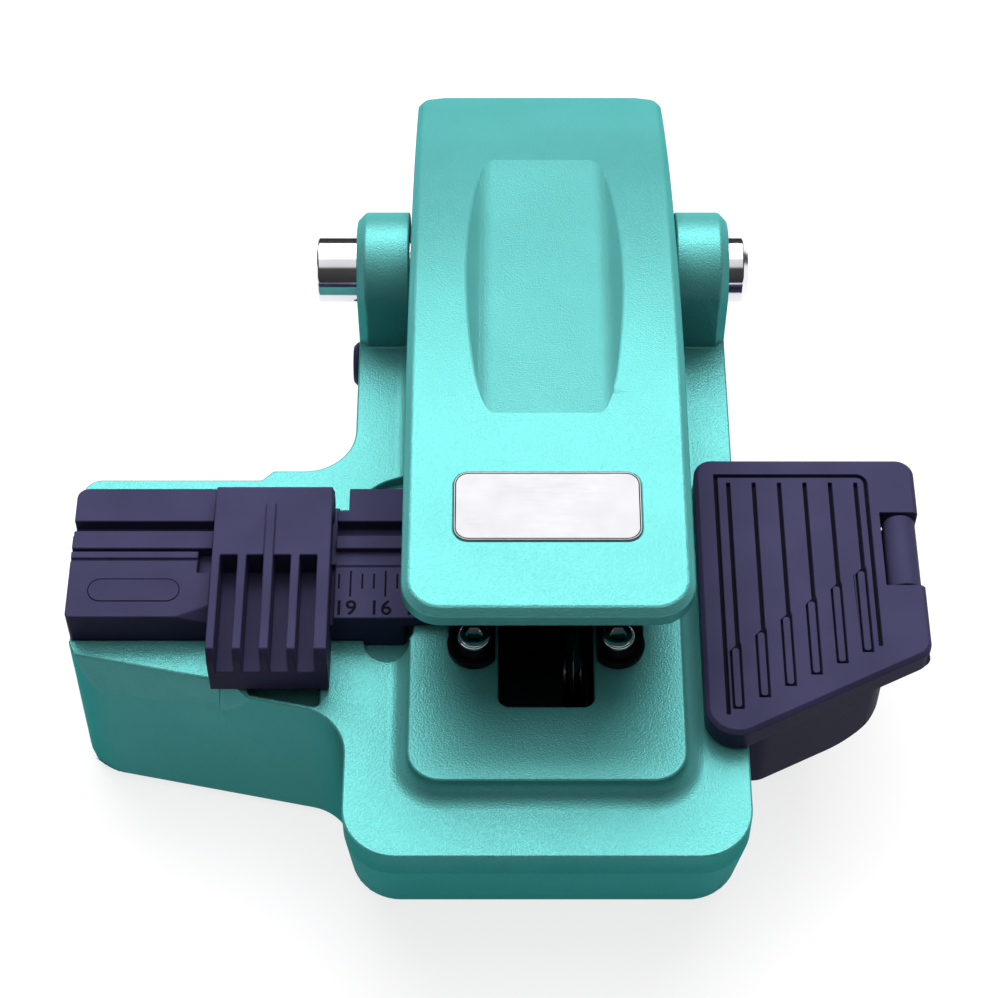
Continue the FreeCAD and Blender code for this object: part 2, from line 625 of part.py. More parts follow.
def raised_top(base):
    """Adds the plateau, with a hollow fillet round its foot."""
    plateau = plan_solid([(-PLATEAU_HALF, PLATEAU_FRONT, PLATEAU_RADIUS),
                          (PLATEAU_HALF, PLATEAU_FRONT, PLATEAU_RADIUS),
                          (PLATEAU_HALF, HINGE_Y, 0), (-PLATEAU_HALF, HINGE_Y, 0)],
                         BODY_TOP - 1.0, PLATEAU_TOP)
    solid = joined([base, plateau])

    def at_foot(b):
        inside = max(-b.XMin, b.XMax) < PLATEAU_HALF + 1e-3 and b.YMin > PLATEAU_FRONT - 1e-3
        return inside and near(b.ZMin, BODY_TOP) and near(b.ZMax, BODY_TOP)

    return solid.makeFillet(PLATEAU_FOOT_RADIUS, chosen_edges(solid, at_foot))


def ear(sign):
    """One hinge ear: a boss round the hinge axis on an upright web, its outer edge bevelled."""
    inner, outer = sorted((sign * EAR_INNER, sign * BLOCK_HALF))
    foot = BODY_TOP - 2.0
    solid = joined([rod_x(EAR_RADIUS, inner, outer, HINGE_Y, HINGE_Z),
                    box(inner, outer, HINGE_Y - EAR_RADIUS, HINGE_Y + EAR_RADIUS, foot, HINGE_Z)])
    face_x = sign * BLOCK_HALF

    def on_outer_rim(b):
        return near(b.XMin, face_x) and near(b.XMax, face_x) and b.ZMax > foot + 0.1

    return solid.makeChamfer(EAR_EDGE, chosen_edges(solid, on_outer_rim))


def arm_front(x):
    """Y of the arm's front edge at its top."""
    return ARM_FRONT_LEFT + (x - ARM_LEFT) * (ARM_FRONT_RIGHT - ARM_FRONT_LEFT) / (-BLOCK_HALF - ARM_LEFT)


def tab_pocket(top):
    """Room for a fingertip under the clamp's tab, up to a thin lip along the arm's front edge."""
    left = CLAMP_LEFT + TAB_POCKET_LEFT_INSET
    right = CLAMP_RIGHT - TAB_POCKET_RIGHT_INSET
    back = PLATE_FRONT - TAB_POCKET_BACK_GAP
    return plan_solid([(left, arm_front(left) + TAB_POCKET_RIM, TAB_POCKET_RADIUS),
                       (right, arm_front(right) + TAB_POCKET_RIM, TAB_POCKET_RADIUS),
                       (right, back, TAB_POCKET_RADIUS), (left, back, TAB_POCKET_RADIUS)],
                      BODY_TOP - TAB_POCKET_DEPTH, top)


def body():
    """Anodised housing: block, arm, plateau and hinge ears, machined for everything it holds."""
    solid = raised_top(joined([block(), arm()]))
    solid = joined([solid, ear(-1), ear(1)])
    sky = PLATEAU_TOP + BEYOND
    outside = BLOCK_HALF + BEYOND
    cutters = [
        # carriage chamber, seat of the bottom cover, slot for the carriage's bridge
        box(-CHAMBER_HALF, CHAMBER_HALF, CHAMBER_FRONT, CHAMBER_REAR, 0, CHAMBER_ROOF),
        plan_solid(rectangle(-COVER_HALF - FIT, COVER_HALF + FIT, COVER_FRONT - FIT,
                             COVER_REAR + FIT, COVER_RADIUS + FIT), 0, COVER_LEVEL),
        plan_solid(rectangle(-SLOT_HALF, SLOT_HALF, SLOT_FRONT, SLOT_REAR, SLOT_RADIUS),
                   CHAMBER_ROOF - BEYOND, sky),
        # seat of the adapter plate, with a round relief behind its inner end
        box(ARM_LEFT - BEYOND, PLATE_RIGHT + FIT, PLATE_FRONT - FIT, PLATE_BACK + FIT, SEAT_Z, sky),
        rod_z(RELIEF_RADIUS, SEAT_Z, sky, PLATE_RIGHT, PLATE_BACK - RELIEF_SETBACK).common(
            box(ARM_LEFT, PLATE_NOSE_RIGHT + RELIEF_SIDE_GAP, PLATE_FRONT, BLOCK_REAR, SEAT_Z, sky)),
        # finger notch at the plate's front edge and pocket under the clamp's tab
        rod_z(NOTCH_RADIUS, SEAT_Z, sky, PLATE_RIGHT - NOTCH_INSET, PLATE_FRONT),
        tab_pocket(sky),
        # hollow under the lid's boss and the bore for the shaft
        rod_x(BOSS_RADIUS + BOSS_CLEARANCE, -EAR_INNER, EAR_INNER, HINGE_Y, HINGE_Z),
        rod_x(SHAFT_DIAMETER / 2 + SEATED, -outside, outside, HINGE_Y, HINGE_Z),
        # side button
        rod_x(GUIDE_RADIUS + SEATED, -outside, BUTTON_BORE_END, BUTTON_Y, BUTTON_Z),
        # screw and dowel of the adapter plate
        rod_z(ADAPTER_SCREW_SHANK / 2 + SEATED, ADAPTER_SCREW_END - TIP_ROOM, sky, *ADAPTER_SCREW_PLACE),
        rod_z(ADAPTER_DOWEL_DIAMETER / 2 + SEATED, SEAT_Z - ADAPTER_DOWEL_BITE - TIP_ROOM, sky,
              *ADAPTER_DOWEL_PLACE),
    ]
    for sign in (-1, 1):
        cutters.append(rod_y(ROD_DIAMETER / 2 + SEATED, ROD_FRONT - TIP_ROOM, BLOCK_REAR + BEYOND,
                             sign * ROD_X, ROD_Z))
        cutters.append(rod_y(SET_SCREW_DIAMETER / 2 + SEATED, HINGE_Y, HINGE_Y + EAR_RADIUS + BEYOND,
                             sign * EAR_MIDDLE, HINGE_Z))
    for x, y in JAW_SCREW_PLACES:
        cutters.append(rod_z(JAW_SCREW_SHANK / 2 + SEATED, JAW_SCREW_HOLE, sky, x, y))
    for x, y in COVER_SCREW_PLACES:
        cutters.append(rod_z(COVER_SCREW_SHANK / 2 + SEATED, 0, PAD_THICKNESS + COVER_SCREW_REACH + TIP_ROOM,
                             x, y))
    for y, z in BIN_SCREW_PLACES:
        cutters.append(rod_x(BIN_SCREW_SHANK / 2 + SEATED, BLOCK_HALF - BIN_SCREW_REACH - TIP_ROOM,
                             outside, y, z))
    return without(solid, cutters)


# ---- Underside ----------------------------------------------------------------------------------
def bottom_cover():
    """Steel plate that closes the carriage chamber, countersunk for its two screws."""
    plate = plan_solid(rectangle(-COVER_HALF, COVER_HALF, COVER_FRONT, COVER_REAR, COVER_RADIUS),
                       PAD_THICKNESS, COVER_LEVEL)
    holes = [cover_screw(place, SEATED, COVER_LEVEL + BEYOND) for place in COVER_SCREW_PLACES]
    return without(plate, holes)


def cover_screw(place, clearance, tip):
    """Countersunk screw that ends at the level tip, or the room for it when clearance is given."""
    neck = COVER_SCREW_SHANK / 2 + clearance
    throat = PAD_THICKNESS + COVER_SCREW_HEAD_HEIGHT
    head = cone_z(COVER_SCREW_HEAD / 2 + clearance, neck, PAD_THICKNESS, throat, *place)
    return joined([head, rod_z(neck, throat, tip, *place)])


def cover_screws():
    return group([cover_screw(place, 0, PAD_THICKNESS + COVER_SCREW_REACH) for place in COVER_SCREW_PLACES])


def base_pad():
    """Rubber sheet that the block stands on."""
    foot_front = BLOCK_FRONT + FRONT_LEAN
    return plan_solid(rectangle(-BLOCK_HALF + PAD_MARGIN, BLOCK_HALF - PAD_MARGIN,
                                foot_front + PAD_MARGIN, BLOCK_REAR - PAD_MARGIN, PAD_RADIUS),
                      0, PAD_THICKNESS)


def arm_foot():
    return rod_z(ARM_FOOT_DIAMETER / 2, 0, PAD_THICKNESS, *ARM_FOOT_PLACE)


# ---- Lid hinge ----------------------------------------------------------------------------------
def hinge_shaft():
    """Polished shaft through both ears; it stands out further on the left."""
    radius = SHAFT_DIAMETER / 2
    left = -BLOCK_HALF - SHAFT_LEFT_STICKOUT
    right = BLOCK_HALF + SHAFT_RIGHT_STICKOUT
    return round_bar([(left, radius - SHAFT_LEFT_CHAMFER), (left + SHAFT_LEFT_CHAMFER, radius),
                      (right - SHAFT_RIGHT_CHAMFER, radius), (right, radius - SHAFT_RIGHT_CHAMFER)],
                     HINGE_Y, HINGE_Z)


def shaft_set_screws():
    """Grub screws from the rear of each ear that hold the shaft."""
    screws = []
    start = HINGE_Y + SHAFT_DIAMETER / 2 + FIT
    for sign in (-1, 1):
        screw = rod_y(SET_SCREW_DIAMETER / 2, start, start + SET_SCREW_LENGTH, sign * EAR_MIDDLE, HINGE_Z)
        screws.append(screw)
    return group(screws)


def lid_bushes():
    bushes = []
    for left in (-LID_HALF, LID_HALF - LID_BUSH_LENGTH):
        sleeve = rod_x(BUSH_RADIUS, left, left + LID_BUSH_LENGTH, HINGE_Y, HINGE_Z)
        bore = rod_x(SHAFT_DIAMETER / 2 + RUNNING, -LID_HALF, LID_HALF, HINGE_Y, HINGE_Z)
        bushes.append(sleeve.cut(bore))
    return group(bushes)


# ---- Lid ----------------------------------------------------------------------------------------
def crown_z(y, depth=0.0):
    """Height of the lid's top, or of a surface that lies depth below it."""
    radius = CROWN_RADIUS - depth
    centre = LID_TOP - CROWN_RADIUS
    return centre + math.sqrt(radius ** 2 - (y - CROWN_START) ** 2)


def crown_point(y, depth=0.0):
    return side(y, crown_z(y, depth))


def lid_profile():
    """Side drawing of the lid: flat front, crowned rear, cheeks that deepen to the hinge boss."""
    lip_bottom = LID_TOP - LID_LIP
    cheek_bottom = LID_TOP - CHEEK_DROP
    tail_slope = (TAIL_REAR - CROWN_START) / CROWN_RADIUS
    tail_inner_y = TAIL_REAR - TAIL_THICKNESS * tail_slope
    boss_rear = side(HINGE_Y + BOSS_RADIUS, HINGE_Z)
    boss_low = side(HINGE_Y, HINGE_Z - BOSS_RADIUS)
    boss_front = side(HINGE_Y - BOSS_RADIUS, HINGE_Z)
    middle_top = (CROWN_START + TAIL_REAR) / 2
    middle_under = (TAIL_UNDERSIDE_START + tail_inner_y) / 2
    points = [side(LID_FRONT, lip_bottom), side(LID_FRONT, LID_TOP), side(CROWN_START, LID_TOP)]
    edges = [Part.makeLine(points[0], points[1]), Part.makeLine(points[1], points[2])]
    edges.append(Part.Arc(points[2], crown_point(middle_top), crown_point(TAIL_REAR)).toShape())
    tail_inner = crown_point(tail_inner_y, TAIL_THICKNESS)
    edges.append(Part.makeLine(crown_point(TAIL_REAR), tail_inner))
    under_start = crown_point(TAIL_UNDERSIDE_START, TAIL_THICKNESS)
    edges.append(Part.Arc(tail_inner, crown_point(middle_under, TAIL_THICKNESS), under_start).toShape())
    edges.append(Part.makeLine(under_start, boss_rear))
    edges.append(Part.Arc(boss_rear, boss_low, boss_front).toShape())
    cheek_rear = side(HINGE_Y - BOSS_RADIUS - CHEEK_RUN, cheek_bottom)
    cheek_front = side(LID_FRONT + LID_LIP_DEPTH + LIP_SLOPE, cheek_bottom)
    lip_rear = side(LID_FRONT + LID_LIP_DEPTH, lip_bottom)
    edges.append(Part.makeLine(boss_front, cheek_rear))
    edges.append(Part.makeLine(cheek_rear, cheek_front))
    edges.append(Part.makeLine(cheek_front, lip_rear))
    edges.append(Part.makeLine(lip_rear, points[0]))
    return Part.Wire(edges)


def scoop():
    """Thumb scoop: a flat floor across the crown, hollow corners and side walls at 45 degrees."""
    front_z = crown_z(max(SCOOP_FRONT, CROWN_START))
    rear_z = crown_z(SCOOP_REAR)
    half = SCOOP_FLOOR_WIDTH / 2
    reach = LID_HALF - half
    section = [(-half, 0, SCOOP_RADIUS), (half, 0, SCOOP_RADIUS), (half + reach, reach, 0),
               (-half - reach, reach, 0)]
    length = math.hypot(SCOOP_REAR - SCOOP_FRONT, rear_z - front_z)
    cutter = front_solid(section, 0, length)
    tilt = math.degrees(math.atan2(rear_z - front_z, SCOOP_REAR - SCOOP_FRONT))
    cutter.rotate(FreeCAD.Vector(0, 0, 0), FreeCAD.Vector(1, 0, 0), tilt)
    cutter.translate(side(SCOOP_FRONT, front_z))
    return cutter


def lid():
    face = Part.Face(lid_profile())
    face.translate(FreeCAD.Vector(-LID_HALF, 0, 0))
    solid = face.extrude(FreeCAD.Vector(2 * LID_HALF, 0, 0))
    plan = plan_solid([(-LID_HALF, LID_FRONT, LID_FRONT_RADIUS), (LID_HALF, LID_FRONT, LID_FRONT_RADIUS),
                       (LID_HALF, TAIL_REAR, LID_REAR_RADIUS), (-LID_HALF, TAIL_REAR, LID_REAR_RADIUS)],
                      0, LID_TOP + 1)
    solid = solid.common(plan).removeSplitter()

    def on_top_edge(b):
        middle_y = (b.YMin + b.YMax) / 2
        level = LID_TOP if middle_y < CROWN_START else crown_z(b.YMax)
        on_rim = near(abs(b.XMin), LID_HALF) or near(abs(b.XMax), LID_HALF) or near(b.YMin, LID_FRONT)
        high = b.ZMin > level - 0.01 and (b.ZMax > LID_TOP - 0.01 or b.YMax > TAIL_REAR - 3)
        return on_rim and high and b.YLength + b.XLength > 0.5

    solid = solid.makeChamfer(LID_EDGE, chosen_edges(solid, on_top_edge))
    hollow_half = LID_HALF - CHEEK_THICKNESS
    cutters = [
        scoop(),
        nameplate_form(FIT, LID_TOP + BEYOND),
        plan_solid(rectangle(-hollow_half, hollow_half, LID_HOLLOW_FRONT, LID_HOLLOW_REAR,
                             LID_HOLLOW_RADIUS), HINGE_Z - BOSS_RADIUS, LID_HOLLOW_ROOF),
        rod_x(BUSH_RADIUS + SEATED, -LID_HALF - BEYOND, LID_HALF + BEYOND, HINGE_Y, HINGE_Z),
    ]
    for sign in (-1, 1):
        cutters.append(rod_z(GUIDE_SCREW_SHANK / 2 + SEATED, LID_HOLLOW_ROOF - BEYOND,
                             LID_HOLLOW_ROOF + GUIDE_SCREW_BITE + TIP_ROOM,
                             sign * GUIDE_SCREW_X, GUIDE_SCREW_Y))
    return without(solid, cutters)


def nameplate_form(margin, top):
    """The nameplate's form up to the level top, grown by margin all round."""
    half_x = NAMEPLATE_SIZE[0] / 2 + margin
    half_y = NAMEPLATE_SIZE[1] / 2 + margin
    return plan_solid(rectangle(-half_x, half_x, NAMEPLATE_Y - half_y, NAMEPLATE_Y + half_y,
                                NAMEPLATE_RADIUS + margin), LID_TOP - NAMEPLATE_RECESS, top)


def nameplate():
    """Bare metal plate let into the lid."""
    return nameplate_form(0, LID_TOP - NAMEPLATE_RECESS + NAMEPLATE_THICKNESS)


# ---- Upper clamp and anvil ----------------------------------------------------------------------
def upper_pad_block():
    """Sprung block that presses the fibre down on both sides of the blade."""
    slot_half = ANVIL_WIDTH / 2 + ANVIL_SIDE_GAP
    solid = plan_solid(rectangle(-PAD_BLOCK_HALF, PAD_BLOCK_HALF, PAD_BLOCK_FRONT, PAD_BLOCK_REAR,
                                 PAD_BLOCK_RADIUS), PAD_BLOCK_BOTTOM, PAD_BLOCK_TOP)
    over = PAD_BLOCK_TOP + BEYOND
    under = PAD_BLOCK_BOTTOM - BEYOND
    cutters = [box(CUT_X - slot_half, CUT_X + slot_half, PAD_BLOCK_FRONT - BEYOND,
                   FIBRE_Y + ANVIL_DEPTH / 2 + ANVIL_SIDE_GAP, under, over)]
    for sign in (-1, 1):
        place = (sign * GUIDE_SCREW_X, GUIDE_SCREW_Y)
        cutters.append(rod_z(GUIDE_SCREW_SHANK / 2 + RUNNING, under, over, *place))
        cutters.append(rod_z(PAD_SPRING_OUTER / 2 + CLEAR, PAD_BLOCK_TOP - PAD_SPRING_POCKET, over, *place))
    return without(solid, cutters)


def jaw_pads(bottom, top):
    """One pad each side of the blade, centred on the fibre."""
    pads = []
    for sign in (-1, 1):
        middle = sign * (JAW_INNER + JAW_OUTER) / 2
        pads.append(box(middle - JAW_PAD_WIDTH / 2, middle + JAW_PAD_WIDTH / 2,
                        FIBRE_Y - JAW_PAD_LENGTH / 2, FIBRE_Y + JAW_PAD_LENGTH / 2, bottom, top))
    return group(pads)


def upper_pads():
    return jaw_pads(FIBRE_Z + FIBRE_GAP, PAD_BLOCK_BOTTOM)


def pad_guide_screws():
    """Shoulder screws that the pad block hangs on and slides along."""
    screws = []
    for sign in (-1, 1):
        place = (sign * GUIDE_SCREW_X, GUIDE_SCREW_Y)
        shank = rod_z(GUIDE_SCREW_SHANK / 2, PAD_BLOCK_BOTTOM, LID_HOLLOW_ROOF + GUIDE_SCREW_BITE, *place)
        head = rod_z(GUIDE_SCREW_HEAD / 2, PAD_BLOCK_BOTTOM - GUIDE_SCREW_HEAD_HEIGHT, PAD_BLOCK_BOTTOM,
                     *place)
        screws.append(joined([shank, head]))
    return group(screws)


def pad_springs():
    bottom = PAD_BLOCK_TOP - PAD_SPRING_POCKET
    up = FreeCAD.Vector(0, 0, 1)
    springs = []
    for sign in (-1, 1):
        foot = FreeCAD.Vector(sign * GUIDE_SCREW_X, GUIDE_SCREW_Y, bottom)
        springs.append(coil_spring(foot, up, LID_HOLLOW_ROOF - bottom, PAD_SPRING_OUTER,
                                   PAD_SPRING_WIRE, PAD_SPRING_TURNS))
    return group(springs)


def anvil_holder():
    """Post under the lid that carries the anvil over the blade."""
    half = ANVIL_WIDTH / 2
    return box(CUT_X - half, CUT_X + half, FIBRE_Y - ANVIL_DEPTH / 2, FIBRE_Y + ANVIL_DEPTH / 2,
               FIBRE_Z + ANVIL_GAP + ANVIL_TIP, LID_HOLLOW_ROOF)


def anvil_pad():
    """Narrow anvil face that bends the fibre over the score."""
    tip_bottom = FIBRE_Z + ANVIL_GAP
    tip_top = tip_bottom + ANVIL_TIP
    half = ANVIL_WIDTH / 2 - ANVIL_PAD_INSET
    reach = ANVIL_DEPTH / 2 - ANVIL_PAD_INSET
    narrow = half - ANVIL_PAD_TAPER
    return front_solid([(CUT_X - narrow, tip_bottom, 0), (CUT_X + narrow, tip_bottom, 0),
                        (CUT_X + half, tip_top, 0), (CUT_X - half, tip_top, 0)],
                       FIBRE_Y - reach, FIBRE_Y + reach)


# ---- Lower clamp --------------------------------------------------------------------------------
def lower_jaws():
    """Two thin steel jaws beside the slot, each with round lugs for its screws."""
    top = PLATEAU_TOP + JAW_THICKNESS
    jaws = []
    for sign in (-1, 1):
        inner, outer = sorted((sign * JAW_INNER, sign * JAW_OUTER))
        shapes = [box(inner, outer, JAW_SCREW_FRONT_Y, JAW_SCREW_REAR_Y, PLATEAU_TOP, top)]
        holes = []
        for y in (JAW_SCREW_FRONT_Y, JAW_SCREW_REAR_Y):
            lug = rod_z(JAW_LUG_RADIUS, PLATEAU_TOP, top, sign * JAW_SCREW_X, y)
            slot_side, free_side = sorted((sign * JAW_INNER, sign * (JAW_OUTER + JAW_LUG_RADIUS)))
            keep = box(slot_side, free_side, y - JAW_LUG_RADIUS, y + JAW_LUG_RADIUS, PLATEAU_TOP, top)
            shapes.append(lug.common(keep))
            holes.append(rod_z(JAW_SCREW_SHANK / 2 + CLEAR, PLATEAU_TOP - BEYOND, top + BEYOND,
                               sign * JAW_SCREW_X, y))
        middle = sign * (JAW_INNER + JAW_OUTER) / 2
        half = JAW_PAD_WIDTH / 2 + FIT
        reach = JAW_PAD_LENGTH / 2 + FIT
        holes.append(box(middle - half, middle + half, FIBRE_Y - reach, FIBRE_Y + reach,
                         PLATEAU_TOP - BEYOND, top + BEYOND))
        jaws.append(without(joined(shapes), holes))
    return group(jaws)


def lower_pads():
    return jaw_pads(PLATEAU_TOP, FIBRE_Z - FIBRE_GAP)


def jaw_screws():
    """Socket cap screws, their heads standing on the jaws."""
    seat = PLATEAU_TOP + JAW_THICKNESS
    top = seat + JAW_SCREW_HEAD_HEIGHT
    screws = []
    for x, y in JAW_SCREW_PLACES:
        head = rod_z(JAW_SCREW_HEAD / 2, seat, top, x, y)
        shank = rod_z(JAW_SCREW_SHANK / 2, PLATEAU_TOP - JAW_SCREW_REACH, seat, x, y)
        socket = hex_socket(JAW_SCREW_SOCKET, top - JAW_SCREW_SOCKET_DEPTH, top, x, y)
        screws.append(joined([head, shank]).cut(socket))
    return group(screws)


# ---- Carriage and blade -------------------------------------------------------------------------
def carriage():
    """Sliding block on two guide rods, with a bridge up through the slot, slit for the blade."""
    bridge_half = SLOT_HALF - SLOT_CLEARANCE
    solid = joined([
        box(-CARRIAGE_HALF, CARRIAGE_HALF, CARRIAGE_FRONT, CARRIAGE_REAR, CARRIAGE_BOTTOM, CARRIAGE_TOP),
        plan_solid(rectangle(-bridge_half, bridge_half, BRIDGE_FRONT, BRIDGE_REAR, SLOT_RADIUS),
                   CARRIAGE_BOTTOM, BRIDGE_TOP)])
    reach = BLADE_DIAMETER / 2 + BLADE_RIM_GAP
    hub_reach = HUB_DIAMETER / 2 + BLADE_RIM_GAP
    slit_half = BLADE_THICKNESS / 2 + BLADE_SIDE_GAP
    cutters = [
        box(CUT_X - slit_half, CUT_X + slit_half, BLADE_REST_Y - reach, BLADE_REST_Y + reach,
            CARRIAGE_BOTTOM - BEYOND, BRIDGE_TOP + BEYOND),
        box(CUT_X - BLADE_SLOT_HALF, CUT_X + BLADE_SLOT_HALF, BLADE_REST_Y - hub_reach,
            BLADE_REST_Y + hub_reach, CARRIAGE_BOTTOM - BEYOND, BLADE_Z + hub_reach),
        rod_x(AXLE_DIAMETER / 2 + SEATED, AXLE_LEFT - TIP_ROOM, CARRIAGE_HALF + BEYOND,
              BLADE_REST_Y, BLADE_Z),
        rod_x(AXLE_HEAD / 2 + CLEAR, CARRIAGE_HALF - AXLE_HEAD_HEIGHT, CARRIAGE_HALF + BEYOND,
              BLADE_REST_Y, BLADE_Z)]
    for sign in (-1, 1):
        cutters.append(rod_y(BUSH_OUTER_RADIUS + SEATED, CARRIAGE_FRONT - BEYOND, CARRIAGE_REAR + BEYOND,
                             sign * ROD_X, ROD_Z))
    return without(solid, cutters)


def carriage_bushes():
    """One long bush round each guide rod."""
    bushes = []
    for sign in (-1, 1):
        sleeve = rod_y(BUSH_OUTER_RADIUS, CARRIAGE_FRONT, CARRIAGE_REAR, sign * ROD_X, ROD_Z)
        bore = rod_y(ROD_DIAMETER / 2 + RUNNING, CARRIAGE_FRONT - BEYOND, CARRIAGE_REAR + BEYOND,
                     sign * ROD_X, ROD_Z)
        bushes.append(sleeve.cut(bore))
    return group(bushes)


def guide_rods():
    """Rods pressed in from the rear face, across the chamber and into its front wall."""
    return group([rod_y(ROD_DIAMETER / 2, ROD_FRONT, ROD_REAR, sign * ROD_X, ROD_Z) for sign in (-1, 1)])


def travel_bumpers():
    """Rubber stops on the front and rear walls of the chamber."""
    bottom = (CARRIAGE_BOTTOM + CARRIAGE_TOP - BUMPER_SIDE) / 2
    return group([box(-BUMPER_SIDE / 2, BUMPER_SIDE / 2, start, start + BUMPER_THICKNESS, bottom,
                      bottom + BUMPER_SIDE)
                  for start in (CHAMBER_FRONT, CHAMBER_REAR - BUMPER_THICKNESS)])


def blade_wheel():
    """Carbide wheel ground to an edge from both sides."""
    radius = BLADE_DIAMETER / 2
    half = BLADE_THICKNESS / 2
    wheel = round_bar([(CUT_X - half, radius - BLADE_BEVEL), (CUT_X, radius),
                       (CUT_X + half, radius - BLADE_BEVEL)], BLADE_REST_Y, BLADE_Z)
    return wheel.cut(rod_x(HUB_DIAMETER / 2 + SEATED, CUT_X - HUB_WIDTH, CUT_X + HUB_WIDTH,
                           BLADE_REST_Y, BLADE_Z))


def blade_hub():
    hub = rod_x(HUB_DIAMETER / 2, CUT_X - HUB_WIDTH / 2, CUT_X + HUB_WIDTH / 2, BLADE_REST_Y, BLADE_Z)
    return hub.cut(rod_x(AXLE_DIAMETER / 2 + RUNNING, CUT_X - HUB_WIDTH, CUT_X + HUB_WIDTH,
                         BLADE_REST_Y, BLADE_Z))


def blade_axle():
    """Axle screw of the blade, entered from the right."""
    right = CARRIAGE_HALF - CLEAR
    shank = rod_x(AXLE_DIAMETER / 2, AXLE_LEFT, right, BLADE_REST_Y, BLADE_Z)
    head = rod_x(AXLE_HEAD / 2, CARRIAGE_HALF - AXLE_HEAD_HEIGHT, right, BLADE_REST_Y, BLADE_Z)
    slot = box(right - AXLE_SLOT_DEPTH, right, BLADE_REST_Y - AXLE_HEAD, BLADE_REST_Y + AXLE_HEAD,
               BLADE_Z - AXLE_SLOT_WIDTH / 2, BLADE_Z + AXLE_SLOT_WIDTH / 2)
    return joined([shank, head]).cut(slot)


# ---- Adapter plate ------------------------------------------------------------------------------
def groove(back, front_edge, depth, x0, x1):
    """Groove along the plate, open at the top."""
    return box(x0, x1, front_edge, back, PLATE_TOP - depth, PLATE_TOP + BEYOND)


